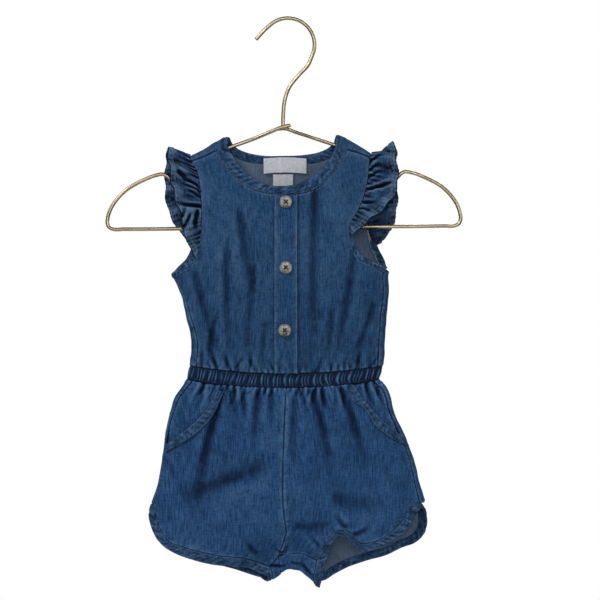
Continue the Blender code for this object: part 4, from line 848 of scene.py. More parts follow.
def panel(name, side, *patches, sewn=("left", "right", "top", "bottom"), lift=0.0, joined_columns=0,
          finish=chambray):
    """A cut panel, sewn along the edges named. A second patch goes on from the first one's bottom, round the crotch."""
    layers = []
    for k, at in enumerate(patches):
        angle, height = at[..., 0], at[..., 1]
        base, out = skin(side, angle, height), normal(side, angle, height)
        rise = relief(base)
        edge = np.full(rise.shape, FAR)
        rows, columns = np.indices(rise.shape)
        hushed = {}
        if joined_columns:  # no seam shows where the two patches are one cloth
            from_fold = rows if k == 0 else rise.shape[0] - 1 - rows
            hushed = {"bottom": smooth((joined_columns + 6 - columns) / 6)} if k == 0 else {
                "top": np.ones(rise.shape), "right": smooth(1 - from_fold / 5)}
        for which, (away, along) in edge_distances(base, from_top=k == 1).items():
            if which in sewn:
                away = away + FAR * hushed.get(which, 0)
                edge = np.minimum(edge, away)
                rise = rise + seam_relief(away, along)
        x, y, z = np.moveaxis(base, -1, 0)
        shade = rise + FOLD_SHADE * fold_depth(np.where(y < 0, FRONT, BACK), x, z)
        layers.append(layer(base, out, rise + lift, rise + lift - CLOTH, (x + 0.7 * y, z), edge, shade))
    sheet(name, layers, "chambray", finish, chambray_inside)


BODICE_GRID, SHORTS_GRID, CROTCH_ROWS, POCKET_GRID = (150, 96), (132, 120), 24, (70, 40)
CROTCH_COLUMNS = {"left": 22, "right": 30}


def bodice():
    rows, columns = BODICE_GRID
    top = WAIST_SIDE_Z + WAISTBAND_HEIGHT / 2
    left_seam = side_seam(FRONT, "left", top, ARMHOLE_FRONT_LEFT[0][1])
    left = seam(rows, left_seam, flat(ARMHOLE_FRONT_LEFT))
    centre_z = np.linspace(-359.2, -175, rows + 1)
    centre_line = np.stack([angle_at(CENTRE_X, centre_z), centre_z], 1)
    neck = seam(columns, flat(SHOULDER_SEAM_LEFT), flat(NECK_FRONT_LEFT[:0:-1]), centre_line[-1])
    bottom = waist_edge(FRONT, left[0][0], centre_line[0][0], columns, 1)
    panel("bodice_front_left", FRONT, patch(bottom, neck, left, centre_line), sewn=("left", "top", "bottom"))

    right_seam = side_seam(FRONT, "right", top, ARMHOLE_FRONT_RIGHT[0][1])
    right = seam(rows, right_seam, flat(ARMHOLE_FRONT_RIGHT))
    neck = seam(columns, centre_line[-1], flat(NECK_FRONT_RIGHT[::-1]), flat(SHOULDER_SEAM_RIGHT[::-1]))
    bottom = waist_edge(FRONT, centre_line[0][0], right[0][0], columns, 1)
    panel("bodice_front_right", FRONT, patch(bottom, neck, centre_line, right), sewn=("right", "top", "bottom"))

    left = seam(rows, left_seam * (-1, 1) - (math.pi, 0), flat(ARMHOLE_BACK_LEFT), turned(ARMHOLE_TOP_LEFT),
                folded(SHOULDER_SEAM_LEFT)[0])
    right = seam(rows, (math.pi, 0) + right_seam * (-1, 1), flat(ARMHOLE_BACK_RIGHT), turned(ARMHOLE_TOP_RIGHT),
                 folded(SHOULDER_SEAM_RIGHT)[0])
    top = seam(
        2 * columns, folded(SHOULDER_SEAM_LEFT), turned(NECK_TOP_LEFT), flat(NECK_BACK), turned(NECK_TOP_RIGHT),
        folded(SHOULDER_SEAM_RIGHT[::-1]),
    )
    bottom = waist_edge(BACK, left[0][0], right[0][0], 2 * columns, 1)
    panel("bodice_back", BACK, patch(bottom, top, left, right))


def shorts():
    waist = WAIST_SIDE_Z - WAISTBAND_HEIGHT / 2
    rows, columns = SHORTS_GRID
    centre_seam = [flat(FRONT_CROTCH)[::-1], flat(FRONT_CENTRE)[::-1]]
    inner = seam(rows, flat([LEFT_INSEAM[0], LEFT_INSEAM[-1]])[::-1], *centre_seam)
    outer = seam(rows, side_seam(FRONT, "left", HEM_TOP["left"], POCKET_LOW["left"]), flat(POCKET_LEFT))
    top = waist_edge(FRONT, outer[-1][0], inner[-1][0], columns, -1)
    bottom = seam(columns, flat(HEM_FRONT_LEFT))
    panel("shorts_front_left", FRONT, patch(bottom, top, outer, inner), finish=chambray_shorts)

    inner = seam(rows, *centre_seam)
    outer = seam(rows, side_seam(FRONT, "right", HEM_TOP["right"], POCKET_LOW["right"]), flat(POCKET_RIGHT))
    bottom = seam(columns, flat(RIGHT_INSEAM), flat(HEM_FRONT_RIGHT[::-1]))
    top = waist_edge(FRONT, inner[-1][0], outer[-1][0], columns, -1)
    panel("shorts_front_right", FRONT, patch(bottom, top, inner, outer), finish=chambray_shorts)

    for hand, inseam, leg_under, leg_forward, hem in (
        ("left", LEFT_INSEAM, LEFT_UNDER, LEFT_FORWARD, HEM_BACK_LEFT),
        ("right", RIGHT_INSEAM, RIGHT_UNDER, RIGHT_FORWARD, HEM_BACK_RIGHT),
    ):
        steps = CROTCH_COLUMNS[hand]
        leg = seam(CROTCH_ROWS, turned(leg_under, under=True), folded(leg_forward))
        under = seam(CROTCH_ROWS, turned(CENTRE_UNDER, under=True), folded(CENTRE_FORWARD))
        outer = seam(rows, side_seam(BACK, hand, HEM_TOP[hand], waist))
        fold_line = turned([(CENTRE_UNDER[0][0], 0), (leg_under[0][0], 0)], steps, under=True)
        hem_line = seam(columns - steps, flat(hem[::-1]), outer[0])
        hem_line[0] = fold_line[-1]
        bottom = np.concatenate([fold_line[:-1], hem_line])
        inner = seam(rows, under[0], flat(BACK_CENTRE[::-1]))
        top = waist_edge(BACK, inner[-1][0], outer[-1][0], columns, -1)
        crotch = patch(seam(steps, folded(inseam)), fold_line, under[::-1], leg[::-1])
        panel(f"shorts_back_{hand}", BACK, patch(bottom, top, inner, outer), crotch, joined_columns=steps,
              finish=chambray_shorts)


def rounded(v, least=0.25):
    """The swell of a band's section across it, from one edge to the other."""
    return least + (1 - least) * (1 - abs(2 * v - 1) ** 3.5) ** 0.6


Band = namedtuple("Band", "rows thickness raised pucker pitch")
NECK_BAND, LEG_BAND = Band(12, BINDING, 0.1, 0.48, 6.4), Band(10, BINDING, 0.1, 0.48, 5.8)
ARM_BAND, POCKET_BAND = Band(8, 2.0, 0.1, 0.42, 4.6), Band(12, 1.6, CLOTH + 0.9, 0.40, 6.0)
TUCKED_UNDER = 0.45  # how far a band starts under the panel it is sewn to


def strip(name, inner, outer, band):
    """A narrow folded band between two edges, given as rows of (side, angle, height)."""
    v = np.linspace(0, 1, band.rows + 1)[:, None]
    side = np.broadcast_to(inner[None, :, 0], (band.rows + 1, len(inner)))
    angle = inner[None, :, 1] * (1 - v) + outer[None, :, 1] * v
    height = inner[None, :, 2] * (1 - v) + outer[None, :, 2] * v
    base, out = skin(side, angle, height), normal(side, angle, height)
    base[0] -= TUCKED_UNDER * unit(base[1] - base[0])
    along = np.broadcast_to(lengths(base, 1).mean(0, keepdims=True), side.shape)
    across = lengths(base, 0)
    swell = rounded(v)
    slant = along + 0.8 * across
    ripple = np.sin(2 * np.pi * slant / band.pitch + 4.5 * lumps(along, across, 1.7 * band.pitch, 30, 7))
    uneven = 0.35 + 0.45 * lumps(along, across, 2.3 * band.pitch, 30, 13)
    blotch = lumps(slant, across, 0.55 * band.pitch, 2.6, 8) + 0.6 * lumps(along, across, 0.3 * band.pitch, 1.6, 19)
    tuck = band.pucker * (ripple * uneven * np.sin(np.pi * v) ** 0.6 + 0.75 * blotch)
    middle = band.raised - CLOTH / 2
    front = middle + band.thickness / 2 * swell + tuck
    back = np.minimum(middle - band.thickness / 2 * swell + 0.6 * tuck, front - 0.3)
    edge, shade = np.minimum(across, across[-1:] - across), 3.4 * tuck - 1.2 * (1 - swell) - 0.2
    sheet(name, [layer(base, out, front, back, (along, across), edge, shade)], "chambray_binding", binding_cloth)


def on(side, points):
    return np.concatenate([np.full((len(points), 1), float(side)), points], 1)


def neck_binding():
    def ring(front_left, top_left, back, top_right, front_right):
        return np.concatenate([
            on(FRONT, flat(front_left, 150)), on(BACK, turned(top_left, 24))[1:-1],
            on(BACK, flat(back, 170)), on(BACK, turned(top_right, 24))[1:-1],
            on(FRONT, flat(front_right, 150)),
        ])

    inner = ring(NECK_FRONT_LEFT, NECK_TOP_LEFT, NECK_BACK, NECK_TOP_RIGHT, NECK_FRONT_RIGHT)
    outer = ring(COLLAR_FRONT_LEFT, COLLAR_TOP_LEFT, COLLAR_BACK, COLLAR_TOP_RIGHT, COLLAR_FRONT_RIGHT)
    strip("neck_binding", inner, outer, NECK_BAND)


def armhole_bindings():
    for hand, seam_front, seam_back, edge_front, edge_back in (
        ("left", ARMHOLE_FRONT_LEFT, ARMHOLE_BACK_LEFT, ARM_EDGE_FRONT_LEFT, ARM_EDGE_BACK_LEFT),
        ("right", ARMHOLE_FRONT_RIGHT, ARMHOLE_BACK_RIGHT, ARM_EDGE_FRONT_RIGHT, ARM_EDGE_BACK_RIGHT),
    ):
        front, back = flat(seam_front, 176)[64::-1], flat(seam_back, 144)[:49]
        inner = np.concatenate([on(FRONT, front), on(BACK, back)[1:]])
        outer = np.concatenate([on(FRONT, flat(edge_front[::-1], 64)), on(BACK, flat(edge_back, 48))[1:]])
        strip(f"armhole_binding_{hand}", inner, outer, ARM_BAND)


def leg_ring(front, forward, under, back):
    """A line round a leg, from the side seam along the front, under the crotch and back along the back."""
    return np.concatenate([
        on(FRONT, flat(front, 168))[:-1], on(BACK, folded(forward[::-1], 8)),
        on(BACK, turned(under[::-1], 24, under=True))[1:-1], on(BACK, flat(back[::-1], 150)),
    ])


def leg_bindings():
    left = leg_ring(HEM_FRONT_LEFT, LEFT_FORWARD, LEFT_UNDER, HEM_BACK_LEFT)
    left_edge = leg_ring(EDGE_FRONT_LEFT, EDGE_FORWARD_LEFT, EDGE_UNDER_LEFT, EDGE_BACK_LEFT)
    right = leg_ring(HEM_FRONT_RIGHT, RIGHT_FORWARD, RIGHT_UNDER, HEM_BACK_RIGHT)
    right_edge = leg_ring(EDGE_FRONT_RIGHT, EDGE_FORWARD_RIGHT, EDGE_UNDER_RIGHT, EDGE_BACK_RIGHT)
    for hand, inner, outer in (("left", left, left_edge), ("right", right, right_edge)):
        low = HEM_TOP[hand] - EDGE_GAP / 2
        for row, side in ((0, FRONT), (-1, BACK)):
            inner[row] = side, side_seam(side, hand, low, low)[0][0], low
        outer[-1] = BACK, math.copysign(math.pi, outer[0][1]) - outer[0][1], outer[0][2]
        strip(f"leg_binding_{hand}", inner, outer, LEG_BAND)


POCKET_SINK = CLOTH + 1.05


def pockets():
    """Each pocket's facing, seen at the side above the slanted opening, and the binding along the opening."""
    for hand, curve, lower in (("left", POCKET_LEFT, POCKET_LEFT_LOWER), ("right", POCKET_RIGHT, POCKET_RIGHT_LOWER)):
        sign = -1 if hand == "left" else 1
        hidden = [(x - sign * 5, z - 4) for x, z in curve[1:-1]]
        hidden = [(curve[0][0] - sign * 1.5, curve[0][1] - 6), *hidden, (curve[-1][0] - sign * 5, curve[-1][1])]
        rows, columns = POCKET_GRID
        outer = seam(rows, side_seam(FRONT, hand, POCKET_LOW[hand], WAIST_SIDE_Z - WAISTBAND_HEIGHT / 2))
        inner = seam(rows, flat(hidden))
        top = waist_edge(FRONT, outer[-1][0], inner[-1][0], columns, -1)
        bottom = np.linspace(outer[0], inner[0], columns + 1)
        u, v = np.linspace(0, 1, columns + 1)[None, :], np.linspace(0, 1, rows + 1)[:, None]
        fall = -POCKET_SINK * np.clip(np.maximum(0.3 + u / 0.4, 1.3 - 3 * v), None, 1)
        if hand == "left":
            panel("pocket_facing_left", FRONT, patch(bottom, top, outer, inner), sewn=("left", "top"), lift=fall,
                  finish=chambray_shorts)
        else:
            grid = patch(bottom[::-1], top[::-1], inner, outer)
            panel("pocket_facing_right", FRONT, grid, sewn=("right", "top"), lift=fall[:, ::-1], finish=chambray_shorts)
        strip(f"pocket_binding_{hand}", on(FRONT, flat(lower, 90)), on(FRONT, flat(curve, 90)), POCKET_BAND)


RIB_PITCH, RIB_DEPTH, CASING_DEPTH = 4.05, 1.45, 1.9
WAISTBAND_GRID = 14, 900


def waistband():
    """A closed ring of elastic casing, gathered into ribs outside and plain inside."""
    rows, columns = WAISTBAND_GRID
    angle = np.pi - np.linspace(0, 2 * np.pi, columns + 1)[None, :]
    v = np.linspace(0, 1, rows + 1)[:, None]
    z = waist_z(angle, 0) + (v - 0.5) * (WAISTBAND_HEIGHT - 0.4)
    side, around = np.full(z.shape, float(FRONT)), np.broadcast_to(angle, z.shape)
    base, out = skin(side, around, z), normal(side, around, z)
    girth = np.broadcast_to(lengths(base, 1).mean(0, keepdims=True), z.shape)
    total = girth[0, -1]
    ribs = round(total / RIB_PITCH)
    lean = 0.8 * np.sin(girth * 2 * np.pi * 7 / total) + 0.7 * np.sin(girth * 2 * np.pi * 19 / total + 1)
    phase = girth + lean * (v - 0.5) * 1.6 + 1.1 * np.sin(girth * 2 * np.pi * 31 / total)
    wave = 1 - abs(np.sin(np.pi * ribs * phase / total)) ** 0.8
    full = np.sin(np.pi * np.clip(v, 0.03, 0.97)) ** 0.4
    uneven = 0.75 + 0.35 * np.sin(girth * 2 * np.pi * 43 / total + 2) * np.sin(girth * 2 * np.pi * 11 / total)
    rib = RIB_DEPTH * wave * full * uneven
    shape = rib - 0.55 * (1 - full) - 0.1
    edge, shade = np.minimum(v, 1 - v) * WAISTBAND_HEIGHT + 0 * z, (rib - 0.55) * 4.8 - 2.6 * (1 - full)
    casing = layer(base, out, shape, np.full(z.shape, -CASING_DEPTH), (girth * 1.6, z), edge, shade)
    sheet("waistband", [casing], "chambray_binding", binding_cloth)


def placket():
    rows, columns = 150, 22
    x = np.linspace(PLACKET_LEFT, PLACKET_RIGHT, columns + 1)[None, :] + np.zeros((rows + 1, 1))
    z = np.linspace(PLACKET_BOTTOM, PLACKET_TOP, rows + 1)[:, None] + np.zeros((1, columns + 1))
    angle = angle_at(x, z)
    base, out = skin(FRONT, angle, z), normal(FRONT, angle, z)
    rise = PLACKET_STIFFNESS * relief(base)
    away = np.minimum(x - PLACKET_LEFT, PLACKET_RIGHT - x)
    roll = np.clip(away / 0.8, 0, 1) ** 0.5
    ripple = 0.16 * np.sin(2 * np.pi * z / 5.5 + 2 * lumps(x, z, 20, 9, 9)) * np.exp(-((away - 1.5) / 2) ** 2)
    top = rise + PLACKET_LIFT + PLACKET_THICKNESS * (0.55 + 0.45 * roll) + ripple
    shade = rise + ripple - 0.4 * (1 - roll)
    band = layer(base, out, top, top - PLACKET_THICKNESS, (x, z), away, shade)
    sheet("button_placket", [band], "chambray", chambray, chambray_inside)


RUFFLE_COLUMNS, RUFFLE_ROWS = 340, 40
RUFFLE_WAVES, WAVE_DEPTH, FULLNESS = 10, 3.4, 1.25
GATHER_PITCH, GATHER_DEPTH = 4.4, 1.4
SEWN_UNDER, HEM_TURN, HEM_BLUR = 0.4, 6.4, 12
RUFFLE_CREASES = [Crease(FRONT, *row) for row in [
    (-110, -153, -98, -158, 1.5, 2.6), (-90, -168, -107, -157, 1.2, 2.2), (-89, -173, -105, -163, 1.1, 1.9),
    (-88, -177, -102, -169, 1.1, 1.7), (-88, -187, -110, -183, 1.7, 3.2), (-92, -192, -90, -212, 1.8, 2.6),
    (-109, -202, -101, -188, 1.6, 2.4), (-99, -196, -103, -214, 1.3, 1.8), (80, -169, 108, -164, 1.4, 3.0),
    (82, -143, 96, -136, 1.2, 1.8), (81, -150, 94, -145, 1.2, 1.7), (80, -157, 95, -152, 1.2, 1.8),
    (73, -182, 90, -184, 1.3, 1.8), (70, -190, 84, -193, 1.1, 1.5),
]]


def ruffle_edges(ruffle):
    """A ruffle's seam and its hem, evenly spaced from the front over the shoulder to the back."""
    stretches = [
        on(FRONT, seam(80, flat(ruffle.seam_front)))[5:-5], on(BACK, seam(20, turned(ruffle.shoulder))),
        on(BACK, seam(70, flat(ruffle.seam_back[::-1])))[5:],
    ]
    sewn = resampled(np.concatenate([skin(*stretch.T) for stretch in stretches]), RUFFLE_COLUMNS)
    hem = resampled(np.array(ruffle.hem, float), RUFFLE_COLUMNS)
    blur = np.exp(-np.linspace(-2, 2, 2 * HEM_BLUR + 1) ** 2)
    padded = np.concatenate([[hem[0]] * HEM_BLUR, hem, [hem[-1]] * HEM_BLUR])
    hem = np.stack([np.convolve(padded[:, k], blur / blur.sum(), "valid") for k in range(3)], 1)
    return sewn[None], hem[None]


def ruffle_waves(v, t, ends):
    """The broad waves of a ruffle, which grow towards its hem, and the flutter near its seam."""
    swing = np.sin(2 * np.pi * RUFFLE_WAVES * t + 0.9 * v)
    wave = (0.5 + (WAVE_DEPTH - 0.5) * v) * ends * swing * (0.72 + 0.28 * swing**2)
    flutter = np.sin(2 * np.pi * RUFFLE_WAVES * 2.7 * t + 1.3 + 0.5 * v) + 0.6 * lumps(t * 220, v * 20, 9, 12, 10)
    return wave + 0.7 * (1 - v) * ends * flutter


def ruffle_gathers(v, girth, ends):
    """The fine gathers that fan out from a ruffle's seam."""
    phase = (girth + 2.2 * v * lumps(girth, v, 13, 1, 14)) / GATHER_PITCH
    gather = np.sin(2 * np.pi * phase + 3 * lumps(girth, v, 7, 1, 11))
    gather = GATHER_DEPTH * (1 - 2 * (0.5 - 0.5 * gather) ** 0.8) * (0.7 + 0.5 * lumps(girth, v, 11, 2, 15))
    return gather * np.exp(-((v / (0.45 + 0.2 * lumps(girth, 0 * v, 10, 1, 16))) ** 1.6)) * ends


def ruffles():
    """Each ruffle is gathered into its armhole seam and spreads in waves to a double-stitched hem."""
    v, t = np.linspace(0, 1, RUFFLE_ROWS + 1)[:, None], np.linspace(0, 1, RUFFLE_COLUMNS + 1)[None, :]
    ends = np.sin(np.pi * t) ** 0.5
    for hand, ruffle in RUFFLES.items():
        sewn, hem = ruffle_edges(ruffle)
        along = np.gradient(sewn, axis=1) * (1 - v[..., None]) + np.gradient(hem, axis=1) * v[..., None]
        out = unit(np.cross(along, hem - sewn) * -ruffle.away)
        girth, reach = lengths(sewn, 1), v * np.linalg.norm(hem - sewn, axis=-1)
        base = (sewn - unit(hem - sewn) * SEWN_UNDER) * (1 - v[..., None]) + hem * v[..., None]
        pulled = 0.9 * creased(FRONT, base[..., 0], base[..., 2], RUFFLE_CREASES)
        pulled = pulled * (base[..., 1] < 4) * smooth(girth / 12)
        to_hem = reach[-1:] - reach
        turn = smooth((HEM_TURN + 0.6 - to_hem) / 1.2)
        sewn_down = np.exp(-(((to_hem - HEM_TURN) / 0.7) ** 2))
        pucker = 0.28 * np.sin(2 * np.pi * girth * FULLNESS / 4.2 + 3 * lumps(girth, v, 9, 1, 17)) * turn
        detail = ruffle_gathers(v, girth, ends) + pulled + pucker + 0.3 * lumps(girth, reach, 9, 7, 18)
        detail = detail + 0.3 * turn - 0.45 * sewn_down
        wave = ruffle_waves(v, t, ends)
        outer = base + out * (wave + detail + 4.4 * np.sin(np.pi * v / 2) * (1 - v) + 0.5)[..., None]
        face = unit(np.cross(np.gradient(outer, axis=1), np.gradient(outer, axis=0)))
        face = face * np.sign((face * out).sum())
        edge = np.minimum(reach, np.minimum(to_hem, abs(to_hem - HEM_TURN) + 0.8))
        shade = 2.1 * detail + 0.35 * wave - 0.6 - 0.8 * (1 - v) ** 3
        uv = reach, np.broadcast_to(girth * 1.3, reach.shape)
        frill = layer(outer, face, 0 * reach, -CLOTH * (1 + 0.35 * turn), uv, edge, shade)
        sheet(f"ruffle_{hand}", [frill], "chambray", chambray_ruffled)


LABEL_HALF_WIDTH, LABEL_TOP, LABEL_BOTTOM, LABEL_ARCH = 21.5, -138, -153, 1.2
TAB_LEFT, TAB_RIGHT, TAB_TOP, TAB_BOTTOM = -15, 5, -153.6, -165
LABEL_SINK, RIBBON = 2.15, 0.8


def labels():
    """The neck label and the size tab below it, both bare, on the inside of the back."""
    def ribbon(name, x, z, lift, crease_x):
        angle = angle_at(x, z)
        base, out = skin(BACK, angle, z), normal(BACK, angle, z)
        fold = 0.7 * np.exp(-(((x - crease_x) / 1.6) ** 2))
        shape = LABEL_SINK + lift + 0.35 * lumps(x, z, 9, 8, 12) + fold
        outer = base - out * shape[..., None]
        edge = np.minimum.reduce([away for away, along in edge_distances(outer).values()])
        # The crease goes to the finish as relief, where it is painted as a highlight
        sheet(name, [layer(outer, out, 0 * x, 0 * x - RIBBON, (x, z), edge, fold)], "label_ribbon", ribbon_white)

    v = np.linspace(0, 1, 25)[:, None]
    x, _ = np.broadcast_arrays(CENTRE_X + np.linspace(-LABEL_HALF_WIDTH, LABEL_HALF_WIDTH, 61), v)
    arch = LABEL_ARCH * (1 - ((x - CENTRE_X) / LABEL_HALF_WIDTH) ** 2)
    ribbon("neck_label", x, LABEL_BOTTOM + (LABEL_TOP - LABEL_BOTTOM) * v + arch, 0.25 * (1 - v), crease_x=-7.0)
    x, v = np.broadcast_arrays(np.linspace(TAB_LEFT, TAB_RIGHT, 31), v)
    ribbon("size_tab", x, TAB_BOTTOM + (TAB_TOP - TAB_BOTTOM) * v, 0.1, crease_x=-40.0)


Bend = namedtuple("Bend", "out z")
HANGER_CENTRE, HANGER_TILT = -4, math.radians(0.6)
HANGER_HALF = [Bend(*row) for row in [
    (30, -118.4), (55, -127), (88, -138.7), (95, -140.8), (99, -144), (103, -152.5), (106, -158.6), (109, -160.8),
    (113, -158.9), (117, -154.8), (121, -153), (128, -154), (139, -158), (148, -162.3), (156, -167), (163, -173),
    (169, -180), (173.5, -187.5), (176, -195), (176.6, -201), (175, -205.2), (171, -207.3), (160, -207.5),
    (80, -207.5),
]]
NECK_CROSSING = 4.15
ARM_END_LEFT = [(2.6, -105.6), (-6, -107.6), (-18, -112.4)]
ARM_END_RIGHT = [(-10.6, -108.6), (-4, -108.2), (10, -112.6)]
HOOK_TIP = [(-32, -19.5), (-25.5, -12.2), (-20.5, -7.3)]
HOOK_SHANK = [(20.6, -44), (10.5, -55.5), (1.5, -67), (-3.2, -80), (-4.8, -95), (-5, -110)]
HOOK_ARC_START, HOOK_ARC_END = 128, -26


def polyline(curve, points, closed=False):
    line = curve.splines.new("POLY")
    line.points.add(len(points) - 1)
    for point, place in zip(line.points, points):
        point.co = (*(part * MM for part in place), 1)
    line.use_cyclic_u = closed


def bmesh_of(curve):
    """The shape that a curve makes, as a bmesh without doubles."""
    holder = bpy.data.objects.new(curve.name, curve)
    mesh = bpy.data.meshes.new_from_object(holder)
    bm = bmesh.new()
    bm.from_mesh(mesh)
    bpy.data.objects.remove(holder)
    bpy.data.meshes.remove(mesh)
    bmesh.ops.remove_doubles(bm, verts=bm.verts, dist=0.001 * MM)
    return bm


HOLE_RADIUS, HOLE_PITCH = 0.85, 1.6
DISC_HALF_THICKNESS, DISC_EDGE, DISC_SIDES = 0.55, 0.3, 72
RIM_SECTION = [(5.95, 0.6), (6.1, 0.95), (5.85, 1.2), (5.3, 1.15), (4.7, 0.75), (4.4, 0.45)]
THREAD_BESIDE, THREAD_UP, THREAD_HALF_SIZE = (-0.5, 0.0, 0.5), 1.0, (2.7, 0.42, 0.5)


def circle(x, y, radius, sides):
    turns = [2 * math.pi * k / sides for k in range(sides)]
    return [(x + radius * math.cos(turn), y + radius * math.sin(turn), 0) for turn in turns]


def buttons():
    """Four-hole buttons with a raised rim and dished face, each sewn on with a crossed thread."""
    for name in BUTTONS:
        low, high = (Vector(corner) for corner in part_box(name))
        middle = (low + high) / 2
        face = Matrix.Translation(middle) @ Matrix.Rotation(math.radians(90), 4, "X")
        outline = bpy.data.curves.new(name, "CURVE")
        outline.dimensions, outline.fill_mode = "2D", "BOTH"
        outline.extrude, outline.bevel_depth, outline.bevel_resolution = DISC_HALF_THICKNESS * MM, DISC_EDGE * MM, 3
        polyline(outline, circle(0, 0, BUTTON_RADIUS - 0.4, DISC_SIDES), closed=True)
        for x in (-HOLE_PITCH, HOLE_PITCH):
            for y in (-HOLE_PITCH, HOLE_PITCH):
                polyline(outline, circle(x, y, HOLE_RADIUS, 20), closed=True)
        bm = bmesh_of(outline)
        rim = [bm.verts.new((radius * MM, 0, up * MM)) for radius, up in RIM_SECTION]
        edges = [bm.edges.new(pair) for pair in zip(rim, rim[1:] + rim[:1])]
        bmesh.ops.spin(bm, geom=rim + edges, cent=(0, 0, 0), axis=(0, 0, 1), angle=2 * math.pi, steps=DISC_SIDES,
                       use_merge=True)
        bmesh.ops.recalc_face_normals(bm, faces=bm.faces)
        bm.transform(face)
        mesh = meshed(name, bm)
        lowness = [(middle.z - vert.co.z) / (BUTTON_RADIUS * MM) for vert in mesh.vertices]
        mesh.attributes.new("low", "FLOAT", "POINT").data.foreach_set("value", lowness)
        add_piece(f"{name}_horn", mesh, (name,), "horn_button", horn)

        bm = bmesh.new()
        size = Matrix.Diagonal([*(part * MM for part in THREAD_HALF_SIZE), 1])
        for degrees in (45, -45):
            turned_face = face @ Matrix.Rotation(math.radians(degrees), 4, "Z")
            for beside in THREAD_BESIDE:
                place = turned_face @ Matrix.Translation((0, beside * MM, THREAD_UP * MM)) @ size
                bmesh.ops.create_uvsphere(bm, u_segments=10, v_segments=8, radius=1, matrix=place)
        add_piece(f"{name}_thread", meshed(f"{name}_thread", bm), (), "chambray", navy_thread)


def wire(name, points, replaced):
    """A smooth round wire through points of (x, y, z)."""
    curve = bpy.data.curves.new(name, "CURVE")
    curve.dimensions = "3D"
    curve.bevel_depth, curve.bevel_resolution, curve.use_fill_caps = WIRE_RADIUS * MM, 6, True
    polyline(curve, points)
    bm = bmesh_of(curve)
    bmesh.ops.recalc_face_normals(bm, faces=bm.faces)
    add_piece(name, meshed(name, bm), (replaced,), "brass_wire", brass)


def hanger():
    arc = [
        (HOOK_RADIUS * math.cos(math.radians(a)), WIRE_RADIUS - HOOK_RADIUS + HOOK_RADIUS * math.sin(math.radians(a)))
        for a in np.linspace(HOOK_ARC_START, HOOK_ARC_END, 15)
    ]
    hook = curve_through([*HOOK_TIP, *arc, *HOOK_SHANK], 220)
    wire("hook_wire", [(x, 0, z) for x, z in hook], "hanger_hook")

    def half(hand, arm_end, crossing):
        away = -1 if hand == "left" else 1
        rows = [(HANGER_CENTRE + away * bend.out, 0, bend.z) for bend in HANGER_HALF]
        tilted = [(x, y, z + (x - HANGER_CENTRE) * math.tan(HANGER_TILT)) for x, y, z in rows]
        return [(x, crossing * (1 if k < 2 else 0.75), z) for k, (x, z) in enumerate(arm_end)] + tilted

    left, right = half("left", ARM_END_LEFT, -NECK_CROSSING), half("right", ARM_END_RIGHT, NECK_CROSSING)
    wire("frame_wire", curve_through(left + right[::-1], 900), "hanger_frame")


# Stitching

STITCH_PITCH, STITCH_LENGTH, STITCH_WIDTH, STITCH_HEIGHT = 2.9, 2.1, 0.6, 0.42
TOPSTITCH, BINDING_STITCH = 2.2, 1.0
ARMHOLE_STITCH, CROTCH_STITCH, PLACKET_STITCH, PLACKET_END_STITCH, LABEL_STITCH = 1.7, 1.7, 1.6, 1.2, 1.0
HEM_STITCHES = HEM_TURN - 0.2, HEM_TURN - 2.0
SERGED = 0.43, 0.82  # the share of the back's side edges that is an armhole
SERGING_FROM, SERGING_TO = 0.9, 3.3


def inset(name, which, distance, first=0.0, last=1.0):
    """The line on a sheet's outer face at a distance inside one of its edges, between two shares of that edge."""
    points = laid[name][0].outer
    away = edge_distances(points)[which][0]
    if which in ("bottom", "top"):
        points, away = points.transpose(1, 0, 2), away.T
    found = []
    for row, reach in zip(points, away):
        order = slice(None) if reach[0] < reach[-1] else slice(None, None, -1)
        climb = np.maximum.accumulate(reach[order])
        found.append([np.interp(distance, climb, row[order, k]) for k in range(3)])
    first, last = (round(share * (len(found) - 1)) for share in (first, last))
    return np.array(found[first: last + 1])


def outward(name, points):
    """The outer face's direction near each point of a line on it."""
    grid = laid[name][0]
    face = unit(grid.outer - grid.inner).reshape(-1, 3)
    near = grid.outer.reshape(-1, 3)
    return np.array([face[np.argmin(((near - point) ** 2).sum(1))] for point in points])


def stitch(name, *lines, finish=seam_thread, sheet_name=None):
    """Rows of stitches along lines on a sheet, as one piece."""
    bm = bmesh.new()
    for points in lines:
        total = np.linalg.norm(np.diff(points, axis=0), axis=1).sum()
        points = resampled(points, max(2, int(total / STITCH_PITCH)))
        for point, way, up in zip(points, unit(np.gradient(points, axis=0)), outward(sheet_name or name, points)):
            across = unit(np.cross(up, way))
            axes = way * STITCH_LENGTH / 2, across * STITCH_WIDTH / 2, np.cross(way, across) * STITCH_HEIGHT / 2, point
            place = Matrix([(*row, 0) for row in np.array(axes) * MM]).transposed()
            place[3][3] = 1
            bmesh.ops.create_uvsphere(bm, u_segments=6, v_segments=4, radius=1, matrix=place)
    add_piece(f"{name}_stitching", meshed(f"{name}_stitching", bm), (), "chambray", finish)


